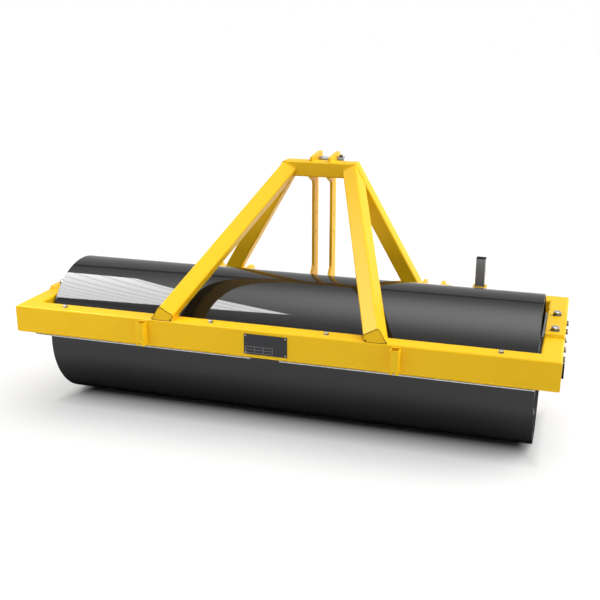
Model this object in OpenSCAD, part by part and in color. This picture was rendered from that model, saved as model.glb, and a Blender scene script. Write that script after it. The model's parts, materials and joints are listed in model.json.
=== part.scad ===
// Lawn roller for a three-point hitch: a smooth drum in a box frame with a portal mast.
// Millimetres. +X along the drum, +Y towards the tractor, +Z up, origin on the ground
// under the middle of the whole machine.

/* [Frame] */
// Width of the box frame over its side beams
frame_w = 2280; // [1600:10:3000]
// Depth of the box frame from rear face to front face
frame_d = 844; // [780:2:1100]
// Height of the beam section
beam_h = 120; // [100:1:140]
// Width of the beam section
beam_w = 80; // [76:1:100]
// Wall of the beam section
beam_wall = 5; // [3:0.5:7]
// Outer corner radius of the beam section
beam_round = 10; // [8:0.5:14]

/* [Drum] */
// Diameter of the drum
drum_d = 620; // [500:5:680]
// Wall of the drum shell
shell_t = 8; // [5:0.5:14]
// Gap between a drum end and the side beam
drum_side_gap = 11; // [9:0.5:20]
// Thickness of an end disc
disc_t = 10; // [6:0.5:16]
// Depth of an end disc inside the end of the shell
disc_recess = 8; // [7:0.5:30]
// Diameter of the stub axle
axle_d = 65; // [50:1:70]
// Length of the stub axle beyond the side beam
axle_proud = 8; // [2:0.5:12]
// Length of the stub axle behind its end disc
axle_root = 60; // [30:1:120]
// Diameter of the hub flange on the axle
hub_d = 150; // [110:1:220]
// Thickness of the hub flange
hub_t = 12; // [6:0.5:20]
// Thickness of the stiffening ring in the middle of the drum
stiffener_t = 8; // [5:0.5:20]
// Hole in the stiffening ring
stiffener_hole_d = 300; // [100:5:420]
// Diameter of the filler plug's thread
plug_d = 30; // [20:1:40]
// Diameter of the filler plug's flange
plug_flange_d = 42; // [32:1:56]
// Width of the filler plug's hexagon across its flats
plug_af = 21; // [16:1:30]
// Distance of the filler plug from the drum's axis
plug_radius = 200; // [130:1:215]

/* [Portal mast] */
// Width of the mast tube as seen from behind
tube_w = 70; // [60:1:80]
// Depth of the mast tube
tube_d = 80; // [70:1:80]
// Wall of the mast tube
tube_wall = 4; // [2:0.5:6]
// Outer corner radius of the mast tube
tube_round = 8; // [7:0.5:12]
// Distance of a leg's foot from the middle
leg_foot_x = 451.5; // [430:0.5:500]
// Lean of a leg away from upright
leg_lean = 30; // [24:0.5:31]
// Height of the crossbar's top over the top link pin
crossbar_rise = 7; // [0:0.5:20]
// Diameter of the vent holes in the crossbar
vent_d = 12; // [4:0.5:14]
// Distance of the vent holes from the middle
vent_x = 110; // [75:1:118]

/* [Rear braces] */
// Distance of a brace's centre line from the rear face at the frame's top
brace_foot_y = 11.8; // [10:0.2:40]
// Drop of the brace's centre line below the crossbar's top
brace_top_drop = 61; // [50:1:100]
// Distance of the upright cut at the brace's foot from the rear face
brace_trim = 8; // [4:0.5:9]
// Thickness of the cap plate on a brace's foot
brace_cap_t = 3; // [2:0.5:4]

/* [Top link] */
// Thickness of a mast plate
mast_plate_t = 12; // [8:0.5:16]
// Gap between the two mast plates
mast_gap = 74; // [54:1:90]
// Height of the top link pin over the lower hitch pins
mast_h = 610; // [600:1:630]
// Distance of the top link pin ahead of the frame
top_pin_reach = 60; // [55:1:80]
// Diameter of the top link pin
top_pin_d = 25.4; // [19:0.1:32]
// Radius of the lug around the top link pin
lug_r = 36; // [30:0.5:44]
// Reach of the lug ahead of the top link pin
lug_front = 50; // [46:0.5:60]
// Drop of the lug's front corner below the top link pin
lug_drop = 14; // [0:0.5:24]
// Part of a mast plate behind the frame's front face
mast_back = 27; // [15:1:40]
// Part of a mast plate ahead of the frame's front face
mast_front = 41; // [30:1:50]
// Reach of the arm over the crossbar
arm_reach = 64; // [40:1:78]
// Height of the arm's tip over the crossbar
arm_rise = 18; // [10:0.5:22]
// Reach of the hook under the crossbar
hook_reach = 78; // [50:1:80]
// Height of the hook at its root
hook_h = 20; // [14:0.5:40]
// Height of the hook at its tip
hook_tip_h = 6; // [3:0.5:12]
// Inner radius between the hook and the upright
hook_round = 22; // [8:0.5:30]
// Reach of the flare on top of the front beam
flare_reach = 69; // [45:1:78]
// Height of the flare at the frame's front face
flare_h = 88; // [40:1:130]
// Height of the flare at its tip
flare_tip_h = 9; // [3:0.5:20]
// Height of the mast plate's lower end over the frame's underside
skirt_rise = 20; // [5:1:60]
// Diameter of the small holes in a mast plate
mast_hole_d = 13; // [6:0.5:20]
// Height of the lower small hole over the frame
mast_hole_low = 219; // [150:1:260]
// Spacing of the small holes
mast_hole_pitch = 86; // [40:1:120]
// Length of the top link pin beyond the right mast plate
top_pin_tail = 29; // [24:0.5:50]
// Diameter of the top link pin's head
top_head_d = 40; // [34:0.5:50]
// Thickness of the top link pin's head
top_head_t = 8; // [4:0.5:16]
// Diameter of the linch pin
linch_d = 9.5; // [6:0.1:11]
// Length of the linch pin below its head
linch_len = 44; // [38:0.5:60]
// Diameter of the linch pin's head
linch_head_d = 15; // [13:0.5:18]
// Height of the linch pin's head
linch_head_h = 11; // [9:0.5:20]
// Mean diameter of the linch ring
ring_d = 28; // [26:0.5:34]
// Thickness of the linch ring's wire
ring_wire = 3; // [2:0.1:4]
// Gap between the linch ring and the right mast plate
ring_gap = 1.5; // [0.5:0.5:6]
// Angle of the folded linch ring from straight down
ring_fold = 60; // [50:1:85]

/* [Lower hitch] */
// Thickness of a hitch ear
ear_t = 12; // [8:0.5:16]
// Centre of the inner ear
ear_inner_x = 406.5; // [395:0.5:420]
// Centre of the middle ear
ear_middle_x = 480; // [470:0.5:495]
// Centre of the outer ear
ear_outer_x = 567; // [556:0.5:600]
// Distance of the lower hitch pin ahead of the frame
ear_reach = 91; // [70:0.5:120]
// Height of the lower hitch pin over the frame's mid-height
hitch_pin_rise = 2; // [0:0.5:3]
// Radius of an ear
ear_r = 57; // [40:0.5:57]
// Bore for the lower hitch pin
hitch_bore_d = 29; // [22:0.1:38]
// Thickness of the hitch gussets
gusset_t = 10; // [8:0.5:12]
// Height of the gussets' top over the ears
gusset_rise = 5; // [0:0.5:6]
// Depth of the hitch gussets
gusset_reach = 28; // [15:0.5:40]
// Length of the outer gusset along the front beam
gusset_out = 69; // [40:1:80]
// Length of the inner gusset along the front beam
gusset_in = 72; // [40:1:90]

/* [Parking stand] */
// Place of the parking stand along the front beam
stand_x = 749; // [700:1:860]
// Width of the stand's square tube
stand_w = 42; // [36:0.5:44]
// Wall of the stand's square tube
stand_wall = 3; // [2:0.5:5]
// Height of the stand's top over the frame
stand_rise = 159; // [90:1:260]
// Depth of the plastic cap inside the stand
cap_depth = 12; // [4:0.5:20]
// Height of the plastic cap's lip over the stand
cap_lip = 1.5; // [1:0.5:6]
// Width of the stand's foot plate
foot_w = 90; // [60:1:140]
// Thickness of the stand's foot plate
foot_t = 8; // [4:0.5:16]
// Width of the sleeve around the stand
sleeve_w = 60; // [56:0.5:62]
// Gap between the stand and its sleeve
sleeve_gap = 1.5; // [0.5:0.1:2]
// Height of the sleeve over the frame
sleeve_rise = 28; // [24:0.5:60]
// Length of the sleeve below the frame
sleeve_drop = 20; // [6:0.5:60]
// Diameter of the holes in the stand
stand_hole_d = 14; // [8:0.5:18]
// Depth of the first hole below the stand's top
stand_hole_drop = 63; // [40:1:75]
// Spacing of the holes in the stand
stand_hole_pitch = 70; // [40:1:90]
// Number of holes in the stand
stand_hole_count = 5; // [1:1:6]
// Diameter of the clamp screw
clamp_d = 12; // [8:0.5:14]
// Diameter of the clamp boss
clamp_boss_d = 22; // [18:0.5:24]
// Length of the clamp boss
clamp_boss_len = 14; // [8:0.5:20]
// Length of the clamp screw outside its boss
clamp_len = 34; // [30:0.5:60]
// Diameter of the clamp screw's head
clamp_head_d = 18; // [15:0.5:24]
// Length of the clamp screw's head
clamp_head_l = 16; // [12:0.5:24]
// Length of the clamp's handle
clamp_handle_len = 90; // [60:1:110]
// Diameter of the clamp's handle
clamp_handle_d = 8; // [5:0.5:9]

/* [Bearings] */
// Height of the axle below the frame
bearing_h = 73; // [68:0.5:95]
// Spacing of the bearing bolts
bearing_bolt_pitch = 200; // [190:1:230]
// Diameter of the bearing bolts
bearing_bolt_d = 20; // [16:0.5:22]
// Length of the housing's base
housing_base_l = 265; // [250:1:300]
// Width of the housing's base
housing_base_w = 66; // [50:1:72]
// Thickness of the housing's base
housing_base_t = 22; // [14:0.5:26]
// Outer radius of the housing's round body
housing_r = 75; // [66:0.5:78]
// Width of the housing's round body
housing_w = 54; // [44:1:64]
// Outer diameter of the bearing
bearing_od = 120; // [110:0.5:126]
// Width of the bearing's outer ring
outer_ring_w = 32; // [24:0.5:40]
// Thickness of the bearing's outer ring
outer_ring_t = 6; // [4:0.25:8]
// Thickness of the bearing's inner ring
inner_ring_t = 7.5; // [5:0.25:9]
// Width of the bearing's inner ring
inner_ring_w = 62; // [40:0.5:68]
// Number of balls in a bearing
ball_count = 10; // [6:1:12]
// Thickness of a bearing seal
seal_t = 2; // [1:0.25:3]
// Diameter of a grease nipple
nipple_d = 8; // [5:0.5:10]
// Length of a grease nipple outside the housing
nipple_len = 9; // [5:0.5:16]
// Length of the top plate over a bearing
top_plate_l = 314; // [280:1:360]
// Width of the top plate
top_plate_w = 72; // [50:1:78]
// Thickness of the top plate
top_plate_t = 12; // [8:0.5:20]
// Depth of the slope at the top plate's ends
top_plate_slope = 7; // [0:0.5:7]

/* [Side beam fittings] */
// Number of bolts on the outer face of a side beam
side_bolt_count = 5; // [1:1:6]
// Spacing of the side bolts
side_bolt_pitch = 112; // [70:1:112]
// Diameter of the side bolts
side_bolt_d = 14; // [8:0.5:16]
// Distance of the inner strip's ends from the ends of the top plate
strip_inset = 1; // [0:0.5:40]
// Height of the inner strip
strip_h = 45; // [20:1:80]
// Thickness of the inner strip
strip_t = 7; // [3:0.5:8]

/* [Scraper] */
// Thickness of the scraper strips
scraper_t = 4; // [2:0.5:8]
// Gap between a scraper and the drum
scraper_gap = 2.5; // [1:0.5:8]
// Distance of the scraper's rear edge from the rear face
scraper_back = 2; // [0:0.5:20]
// Start of a scraper, from the middle
scraper_in = 61; // [10:1:150]
// Gap between a scraper's end and the side beam
scraper_end_gap = 8; // [3:0.5:30]
// Place of the inner scraper bolts
scraper_bolt_in = 245; // [200:1:380]
// Place of the outer scraper bolts
scraper_bolt_out = 919; // [700:1:960]
// Diameter of the scraper bolts
scraper_bolt_d = 12; // [8:0.5:16]

/* [Rear sockets and data plate] */
// Place of the rear sockets
socket_x = 532; // [500:1:640]
// Width of a rear socket
socket_w = 35; // [25:0.5:50]
// Wall of a rear socket
socket_wall = 3; // [2:0.25:5]
// Height of a rear socket
socket_h = 98; // [60:1:98]
// Width of the notch at a socket's lower end
socket_notch_w = 12; // [6:0.5:16]
// Height of the notch at a socket's lower end
socket_notch_h = 14; // [6:0.5:30]
// Width of the data plate
plate_w = 182; // [100:1:240]
// Height of the data plate
plate_h = 85; // [50:1:94]
// Thickness of the data plate
plate_t = 2; // [1:0.25:4]
// Place of the data plate's middle
plate_x = 5; // [-60:1:60]
// Diameter of a rivet in the data plate
rivet_d = 4; // [2.5:0.5:6]
// Distance of a rivet from the data plate's edges
rivet_inset = 7; // [6:0.5:14]

/* [Fits] */
// Gap around pieces that are welded in
weld_gap = 0.1; // [0.05:0.05:0.2]
// Radial gap of a bolt in its hole
bolt_gap = 1; // [0.5:0.1:1.5]
// Radial gap of threads and running fits
fit_gap = 0.05; // [0.02:0.01:0.1]
// Gap between pieces that move past each other
loose_gap = 0.3; // [0.2:0.05:0.6]

/* [Hidden] */
$fn = 48;

yellow = [0.95, 0.76, 0.12];
charcoal = [0.16, 0.17, 0.18];
black = [0.05, 0.05, 0.06];
zinc = [0.72, 0.73, 0.74];
galvanised = [0.62, 0.64, 0.65];
cast = [0.25, 0.25, 0.26];

// Heights
drum_r = drum_d / 2;
axle_z = drum_r;
frame_bottom = axle_z + bearing_h;
frame_top = frame_bottom + beam_h;
frame_mid = frame_bottom + beam_h / 2;
hitch_pin_z = frame_mid + hitch_pin_rise;
top_pin_z = hitch_pin_z + mast_h;
crossbar_top = top_pin_z + crossbar_rise;
crossbar_bottom = crossbar_top - tube_w;
portal_h = crossbar_top - frame_top;

// Depths, with the whole machine centred on y = 0
rear_y = (socket_w - frame_d - ear_reach - ear_r) / 2;
front_y = rear_y + frame_d;
axle_y = rear_y + frame_d / 2;
tube_mid_y = front_y - beam_w / 2;
tube_rear_y = tube_mid_y - tube_d / 2;
tube_front_y = tube_mid_y + tube_d / 2;
top_pin_y = front_y + top_pin_reach;
hitch_pin_y = front_y + ear_reach;
scraper_bolt_y = rear_y + beam_w / 2;

// Widths
side_face_x = frame_w / 2;
inner_face_x = side_face_x - beam_w;
bearing_x = side_face_x - beam_w / 2;
drum_end_x = inner_face_x - drum_side_gap;
disc_face_x = drum_end_x - disc_recess;
disc_back_x = disc_face_x - disc_t;
mast_plate_x = (mast_gap + mast_plate_t) / 2;
mast_outer_x = mast_gap / 2 + mast_plate_t;

// Mast tube
leg_half_x = tube_w / 2 / cos(leg_lean);
crossbar_corner_x = leg_foot_x - portal_h * tan(leg_lean) + leg_half_x;
mitre_low_x = crossbar_corner_x - tube_w * tan(leg_lean);
brace_run_y = tube_rear_y - rear_y - brace_foot_y;
brace_run_xz = (portal_h - brace_top_drop) / cos(leg_lean);
brace_pitch = atan2(brace_run_y, brace_run_xz);
brace_len = norm([brace_run_y, brace_run_xz]);
brace_over = 2 * tube_d;

// Bearing
ring_r = bearing_od / 2;
race_r = ring_r - outer_ring_t;
axle_r = axle_d / 2;
inner_r = axle_r + inner_ring_t;
ball_r = (race_r - inner_r) / 2 - fit_gap;
ball_pitch_r = (race_r + inner_r) / 2;

// Stand
sleeve_inner_w = stand_w + 2 * sleeve_gap;
sleeve_round = 4;
stand_round = 3;
clamp_z = frame_top + sleeve_rise / 2;
clamp_boss_y = tube_mid_y + sleeve_w / 2;
clamp_tip_y = tube_mid_y + stand_w / 2 + loose_gap;
clamp_end_y = clamp_boss_y + clamp_boss_len + clamp_len;

// Fasteners as shares of the thread diameter
function head_af(d) = 1.5 * d;
function head_h(d) = 0.64 * d;
function nut_h(d) = 0.8 * d;
function washer_d(d) = 1.85 * d;
function washer_t(d) = 0.16 * d;
thread_end = 4;
over = 1;

// Rounded rectangle with its middle at the origin
module rounded_rect(w, h, r) {
    square([w - 2 * r, h], center = true);
    square([w, h - 2 * r], center = true);
    for (sx = [-1, 1], sy = [-1, 1])
        translate([sx * (w / 2 - r), sy * (h / 2 - r)])
            circle(r);
}

// Section of a hollow tube
module tube_section(w, h, wall, r) {
    difference() {
        rounded_rect(w, h, r);
        rounded_rect(w - 2 * wall, h - 2 * wall, max(r - wall, wall / 2));
    }
}

// Extrusion along +X of an outline drawn in (y, z)
module along_x(from_x, to_x) {
    translate([from_x, 0, 0])
        rotate([90, 0, 90])
            linear_extrude(to_x - from_x)
                children();
}

// Extrusion along +Y of an outline drawn in (x, z)
module along_y(from_y, to_y) {
    translate([0, to_y, 0])
        rotate([90, 0, 0])
            linear_extrude(to_y - from_y)
                children();
}

// Round bar along +X about the point (y, z)
module bar_x(from_x, to_x, r, y, z) {
    translate([from_x, y, z])
        rotate([0, 90, 0])
            cylinder(r = r, h = to_x - from_x);
}

// Round bar along +Y about the point (x, z)
module bar_y(from_y, to_y, r, x, z) {
    translate([x, to_y, z])
        rotate([90, 0, 0])
            cylinder(r = r, h = to_y - from_y);
}

// Hexagon prism along +Z, measured across its flats
module hexagon(af, h) {
    cylinder(r = af / 2 / cos(30), h = h, $fn = 6);
}

// Hexagon bolt: head on +Z, shank below the origin
module hex_bolt(d, len) {
    hexagon(head_af(d), head_h(d));
    translate([0, 0, -len])
        cylinder(d = d, h = len + head_h(d) / 2);
}

// Hexagon nut with its lower face at the origin
module hex_nut(d) {
    difference() {
        hexagon(head_af(d), nut_h(d));
        translate([0, 0, -over])
            cylinder(d = d + 2 * fit_gap, h = nut_h(d) + 2 * over);
    }
}

// Plain washer with its lower face at the origin
module plain_washer(d) {
    difference() {
        cylinder(d = washer_d(d), h = washer_t(d));
        translate([0, 0, -over])
            cylinder(d = d + 2 * fit_gap, h = washer_t(d) + 2 * over);
    }
}

// Children and their mirror image across the middle plane
module both_sides() {
    children();
    mirror([1, 0, 0])
        children();
}

// Box frame
module beam_along_x(y) {
    translate([0, y, frame_mid])
        along_x(-side_face_x, side_face_x)
            tube_section(beam_w, beam_h, beam_wall, beam_round);
}

module frame_prism(points) {
    translate([0, 0, frame_bottom - over])
        linear_extrude(beam_h + 2 * over)
            polygon(points);
}

module scraper_bolt_places() {
    both_sides()
        for (x = [scraper_bolt_in, scraper_bolt_out])
            translate([x, scraper_bolt_y, 0])
                children();
}

module rivet_places() {
    for (sx = [-1, 1], sz = [-1, 1])
        translate([plate_x + sx * (plate_w / 2 - rivet_inset), 0,
                frame_mid + sz * (plate_h / 2 - rivet_inset)])
            children();
}

module rivet_holes(from_y, to_y) {
    rivet_places()
        bar_y(from_y, to_y, rivet_d / 2 + fit_gap, 0, 0);
}

module rear_beam() {
    color(yellow)
        difference() {
            intersection() {
                beam_along_x(rear_y + beam_w / 2);
                frame_prism([[-side_face_x, rear_y], [side_face_x, rear_y],
                    [inner_face_x, rear_y + beam_w], [-inner_face_x, rear_y + beam_w]]);
            }
            scraper_bolt_places()
                translate([0, 0, frame_bottom - over])
                    cylinder(d = scraper_bolt_d + 2 * bolt_gap, h = beam_h + 2 * over);
            rivet_holes(rear_y - over, rear_y + beam_wall + over);
        }
}

module front_beam() {
    hole_w = sleeve_w + 2 * weld_gap;
    color(yellow)
        difference() {
            intersection() {
                beam_along_x(front_y - beam_w / 2);
                frame_prism([[-side_face_x, front_y], [side_face_x, front_y],
                    [inner_face_x, front_y - beam_w], [-inner_face_x, front_y - beam_w]]);
            }
            translate([stand_x, tube_mid_y, frame_bottom - over])
                linear_extrude(beam_h + 2 * over)
                    square(hole_w, center = true);
        }
}

module bearing_bolt_places() {
    both_sides()
        for (s = [-1, 1])
            translate([bearing_x, axle_y + s * bearing_bolt_pitch / 2, 0])
                children();
}

module bearing_bolt_holes(from_z, to_z) {
    bearing_bolt_places()
        translate([0, 0, from_z])
            cylinder(d = bearing_bolt_d + 2 * bolt_gap, h = to_z - from_z);
}

function side_bolt_y(i) = axle_y + (i - (side_bolt_count - 1) / 2) * side_bolt_pitch;

module side_beam_right() {
    difference() {
        intersection() {
            translate([bearing_x, 0, frame_mid])
                along_y(rear_y, front_y)
                    tube_section(beam_w, beam_h, beam_wall, beam_round);
            frame_prism([[side_face_x, rear_y], [side_face_x, front_y],
                [inner_face_x, front_y - beam_w], [inner_face_x, rear_y + beam_w]]);
        }
        bearing_bolt_holes(frame_bottom - over, frame_top + over);
        for (i = [0 : side_bolt_count - 1])
            bar_x(side_face_x - beam_wall - over, side_face_x + over,
                side_bolt_d / 2 + bolt_gap, side_bolt_y(i), frame_mid);
    }
}

module right_side_beam() {
    color(yellow)
        side_beam_right();
}

module left_side_beam() {
    color(yellow)
        mirror([1, 0, 0])
            side_beam_right();
}

// Portal mast
module crossbar() {
    color(yellow)
        difference() {
            intersection() {
                translate([0, tube_mid_y, crossbar_top - tube_w / 2])
                    along_x(-crossbar_corner_x, crossbar_corner_x)
                        tube_section(tube_d, tube_w, tube_wall, tube_round);
                along_y(tube_rear_y - over, tube_front_y + over)
                    polygon([[-mitre_low_x, crossbar_bottom], [mitre_low_x, crossbar_bottom],
                        [crossbar_corner_x, crossbar_top], [-crossbar_corner_x, crossbar_top]]);
            }
            both_sides()
                translate([vent_x, tube_mid_y, crossbar_top - tube_wall - over])
                    cylinder(d = vent_d, h = tube_wall + 2 * over);
        }
}

module mast_leg_right() {
    leg_len = portal_h / cos(leg_lean) + 2 * tube_w;
    intersection() {
        translate([leg_foot_x, tube_mid_y, frame_top])
            rotate([0, -leg_lean, 0])
                translate([0, 0, -tube_w])
                    linear_extrude(leg_len + tube_w)
                        tube_section(tube_w, tube_d, tube_wall, tube_round);
        along_y(tube_rear_y - over, tube_front_y + over)
            polygon([[leg_foot_x - leg_half_x - over, frame_top],
                [leg_foot_x + leg_half_x + over, frame_top],
                [crossbar_corner_x + over, crossbar_top],
                [crossbar_corner_x, crossbar_top],
                [mitre_low_x, crossbar_bottom]]);
    }
}

module right_mast_leg() {
    color(yellow)
        mast_leg_right();
}

module left_mast_leg() {
    color(yellow)
        mirror([1, 0, 0])
            mast_leg_right();
}

// Rear braces, each cut upright at its foot and closed by a cap plate
module brace_bar() {
    translate([leg_foot_x, rear_y + brace_foot_y, frame_top])
        rotate([0, -leg_lean, 0])
            rotate([-brace_pitch, 0, 0])
                translate([0, 0, -brace_over])
                    linear_extrude(brace_len + 2 * brace_over)
                        children();
}

module brace_slab(from_y, to_y) {
    translate([0, from_y, frame_top])
        cube([side_face_x, to_y - from_y, portal_h]);
}

module rear_brace_right() {
    intersection() {
        brace_bar()
            tube_section(tube_w, tube_d, tube_wall, tube_round);
        brace_slab(rear_y + brace_trim, tube_rear_y);
    }
}

module brace_cap_right() {
    intersection() {
        brace_bar()
            rounded_rect(tube_w, tube_d, tube_round);
        brace_slab(rear_y + brace_trim - brace_cap_t, rear_y + brace_trim);
    }
}

module right_rear_brace() {
    color(yellow)
        rear_brace_right();
}

module left_rear_brace() {
    color(yellow)
        mirror([1, 0, 0])
            rear_brace_right();
}

module right_brace_cap() {
    color(yellow)
        brace_cap_right();
}

module left_brace_cap() {
    color(yellow)
        mirror([1, 0, 0])
            brace_cap_right();
}

// Point where a line from p touches the lug, on the side given by turn
function lug_touch(p, turn) =
    let (dy = p[0] - top_pin_y, dz = p[1] - top_pin_z)
    let (a = atan2(dz, dy) + turn * acos(lug_r / norm([dy, dz])))
    [top_pin_y + lug_r * cos(a), top_pin_z + lug_r * sin(a)];

// Mast plates
module mast_plate_outline() {
    back_y = front_y - mast_back;
    skirt_z = frame_bottom + skirt_rise;
    arm_tip = [front_y - arm_reach, crossbar_top + arm_rise];
    web_foot = [front_y + mast_front / 2, crossbar_bottom - 2 * hook_h];
    hook_z = crossbar_bottom - hook_h;
    lug_tip = [top_pin_y + lug_front, top_pin_z - lug_drop];
    nose_r = lug_r / 2;
    nose_y = lug_tip[0] - nose_r;
    nose_z = top_pin_z + lug_r - nose_r;
    translate([back_y, skirt_z])
        square([mast_back + mast_front, top_pin_z - skirt_z]);
    translate([top_pin_y, top_pin_z])
        circle(lug_r);
    polygon([[arm_tip[0], crossbar_top - over], [web_foot[0], crossbar_bottom],
        [top_pin_y, top_pin_z], lug_touch(arm_tip, -1), arm_tip]);
    polygon([web_foot, lug_touch(web_foot, 1), [top_pin_y, top_pin_z], [web_foot[0], top_pin_z - over]]);
    translate([nose_y, nose_z])
        circle(nose_r);
    polygon([[top_pin_y, top_pin_z], lug_touch(lug_tip, -1), lug_tip, [lug_tip[0], nose_z],
        [nose_y, nose_z + nose_r], [top_pin_y, top_pin_z + lug_r]]);
    polygon([[front_y - hook_reach, crossbar_bottom],
        [front_y - hook_reach, crossbar_bottom - hook_tip_h],
        [back_y - hook_round, hook_z], [tube_front_y, hook_z], [tube_front_y, crossbar_bottom]]);
    difference() {
        translate([back_y - hook_round, hook_z - hook_round])
            square([hook_round + over, hook_round + over]);
        translate([back_y - hook_round, hook_z - hook_round])
            circle(hook_round);
    }
    polygon([[front_y - flare_reach, frame_top], [front_y, frame_top],
        [front_y, frame_top + flare_h], [front_y - flare_reach, frame_top + flare_tip_h]]);
}

module mast_plate_right() {
    along_x(mast_plate_x - mast_plate_t / 2, mast_plate_x + mast_plate_t / 2)
        difference() {
            mast_plate_outline();
            translate([tube_rear_y - tube_d, crossbar_bottom - weld_gap])
                square([tube_front_y + weld_gap - tube_rear_y + tube_d, tube_w + 2 * weld_gap]);
            translate([rear_y, frame_bottom - over])
                square([frame_d + weld_gap, beam_h + over + weld_gap]);
            translate([top_pin_y, top_pin_z])
                circle(top_pin_d / 2 + fit_gap);
            for (i = [0, 1])
                translate([front_y + (mast_front - mast_back) / 2,
                        frame_top + mast_hole_low + i * mast_hole_pitch])
                    circle(d = mast_hole_d);
        }
}

module right_mast_plate() {
    color(yellow)
        mast_plate_right();
}

module left_mast_plate() {
    color(yellow)
        mirror([1, 0, 0])
            mast_plate_right();
}

// Top link pin with its linch pin
linch_head_z = top_pin_z + top_pin_d / 2 + loose_gap;
linch_mid_z = linch_head_z + linch_head_h / 2;
ring_r_mean = ring_d / 2;
ring_wire_r = ring_wire / 2;
ring_sag = ring_r_mean - sqrt(pow(ring_r_mean, 2) - pow(linch_head_d / 2, 2));
linch_x = mast_outer_x + ring_gap + ring_r_mean + ring_wire_r;
ring_slack = 3.5;
ring_hole_d = ring_wire + ring_slack;

module top_link_pin() {
    color(zinc)
        difference() {
            union() {
                bar_x(-mast_outer_x - top_head_t, mast_outer_x + top_pin_tail,
                    top_pin_d / 2, top_pin_y, top_pin_z);
                bar_x(-mast_outer_x - top_head_t - loose_gap, -mast_outer_x - loose_gap,
                    top_head_d / 2, top_pin_y, top_pin_z);
            }
            translate([linch_x, top_pin_y, top_pin_z - top_pin_d])
                cylinder(d = linch_d + 2 * fit_gap, h = 2 * top_pin_d);
        }
}

module linch_pin() {
    color(black)
        difference() {
            union() {
                translate([linch_x, top_pin_y, linch_head_z - linch_len])
                    cylinder(d = linch_d, h = linch_len + over);
                translate([linch_x, top_pin_y, linch_head_z])
                    cylinder(d = linch_head_d, h = linch_head_h);
            }
            bar_x(linch_x - linch_head_d, linch_x + linch_head_d, ring_hole_d / 2,
                top_pin_y, linch_mid_z);
        }
}

module linch_ring() {
    color(zinc)
        translate([linch_x, top_pin_y, linch_mid_z])
            rotate([ring_fold, 0, 0])
                translate([0, 0, ring_sag / 2 - ring_r_mean])
                    rotate([90, 0, 0])
                        rotate_extrude()
                            translate([ring_r_mean, 0])
                                circle(ring_wire_r);
}

// Lower hitch
module hitch_ear(x) {
    along_x(x - ear_t / 2, x + ear_t / 2)
        difference() {
            union() {
                translate([front_y, hitch_pin_z - ear_r])
                    square([ear_reach, 2 * ear_r]);
                translate([hitch_pin_y, hitch_pin_z])
                    circle(ear_r);
            }
            translate([hitch_pin_y, hitch_pin_z])
                circle(d = hitch_bore_d);
        }
}

module hitch_ears_right() {
    for (x = [ear_inner_x, ear_middle_x, ear_outer_x])
        hitch_ear(x);
}

module right_hitch_ears() {
    color(yellow)
        hitch_ears_right();
}

module left_hitch_ears() {
    color(yellow)
        mirror([1, 0, 0])
            hitch_ears_right();
}

module hitch_gussets_right() {
    low_z = hitch_pin_z + ear_r + gusset_rise - gusset_t;
    outer_x = ear_outer_x + ear_t / 2;
    inner_x = ear_inner_x - ear_t / 2;
    end_w = gusset_reach / 2;
    translate([0, front_y, low_z])
        linear_extrude(gusset_t) {
            polygon([[outer_x, 0], [outer_x + gusset_out, 0],
                [outer_x + end_w, gusset_reach], [outer_x, gusset_reach]]);
            polygon([[inner_x, 0], [inner_x - gusset_in, 0],
                [inner_x - end_w, gusset_reach], [inner_x, gusset_reach]]);
            translate([ear_inner_x + ear_t / 2, 0])
                square([ear_middle_x - ear_inner_x - ear_t, gusset_reach]);
        }
}

module right_hitch_gussets() {
    color(yellow)
        hitch_gussets_right();
}

module left_hitch_gussets() {
    color(yellow)
        mirror([1, 0, 0])
            hitch_gussets_right();
}

// Rear sockets
module rear_socket_right() {
    low_z = frame_mid - socket_h / 2;
    translate([socket_x, rear_y - socket_w / 2, low_z])
        difference() {
            linear_extrude(socket_h)
                tube_section(socket_w, socket_w, socket_wall, socket_wall);
            translate([-socket_notch_w / 2, -socket_w / 2 - over, -over])
                cube([socket_notch_w, socket_wall + 2 * over, socket_notch_h + over]);
        }
}

module right_rear_socket() {
    color(yellow)
        rear_socket_right();
}

module left_rear_socket() {
    color(yellow)
        mirror([1, 0, 0])
            rear_socket_right();
}

// Data plate
module data_plate() {
    color(charcoal)
        difference() {
            translate([plate_x, 0, frame_mid])
                along_y(rear_y - plate_t, rear_y)
                    square([plate_w, plate_h], center = true);
            rivet_holes(rear_y - plate_t - over, rear_y + over);
        }
}

module plate_rivets() {
    color(zinc)
        rivet_places() {
            bar_y(rear_y - plate_t - rivet_d / 2, rear_y - plate_t, rivet_d, 0, 0);
            bar_y(rear_y - plate_t - rivet_d / 4, rear_y + beam_wall, rivet_d / 2, 0, 0);
        }
}

// Scrapers
scraper_mid_z = frame_bottom - scraper_t / 2;
scraper_edge_y = axle_y - sqrt(pow(drum_r, 2) - pow(scraper_mid_z - axle_z, 2)) - scraper_gap;
scraper_head_z = frame_top + washer_t(scraper_bolt_d);
scraper_nut_z = frame_bottom - scraper_t - nut_h(scraper_bolt_d);

module scraper_right() {
    difference() {
        translate([scraper_in, rear_y + scraper_back, frame_bottom - scraper_t])
            cube([inner_face_x - scraper_end_gap - scraper_in,
                scraper_edge_y - rear_y - scraper_back, scraper_t]);
        scraper_bolt_places()
            translate([0, 0, frame_bottom - scraper_t - over])
                cylinder(d = scraper_bolt_d + 2 * bolt_gap, h = scraper_t + 2 * over);
    }
}

module right_scraper() {
    color(galvanised)
        scraper_right();
}

module left_scraper() {
    color(galvanised)
        mirror([1, 0, 0])
            scraper_right();
}

module scraper_bolts() {
    color(zinc)
        scraper_bolt_places()
            translate([0, 0, scraper_head_z])
                hex_bolt(scraper_bolt_d, scraper_head_z - scraper_nut_z + thread_end);
}

module scraper_washers() {
    color(zinc)
        scraper_bolt_places()
            translate([0, 0, frame_top])
                plain_washer(scraper_bolt_d);
}

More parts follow.
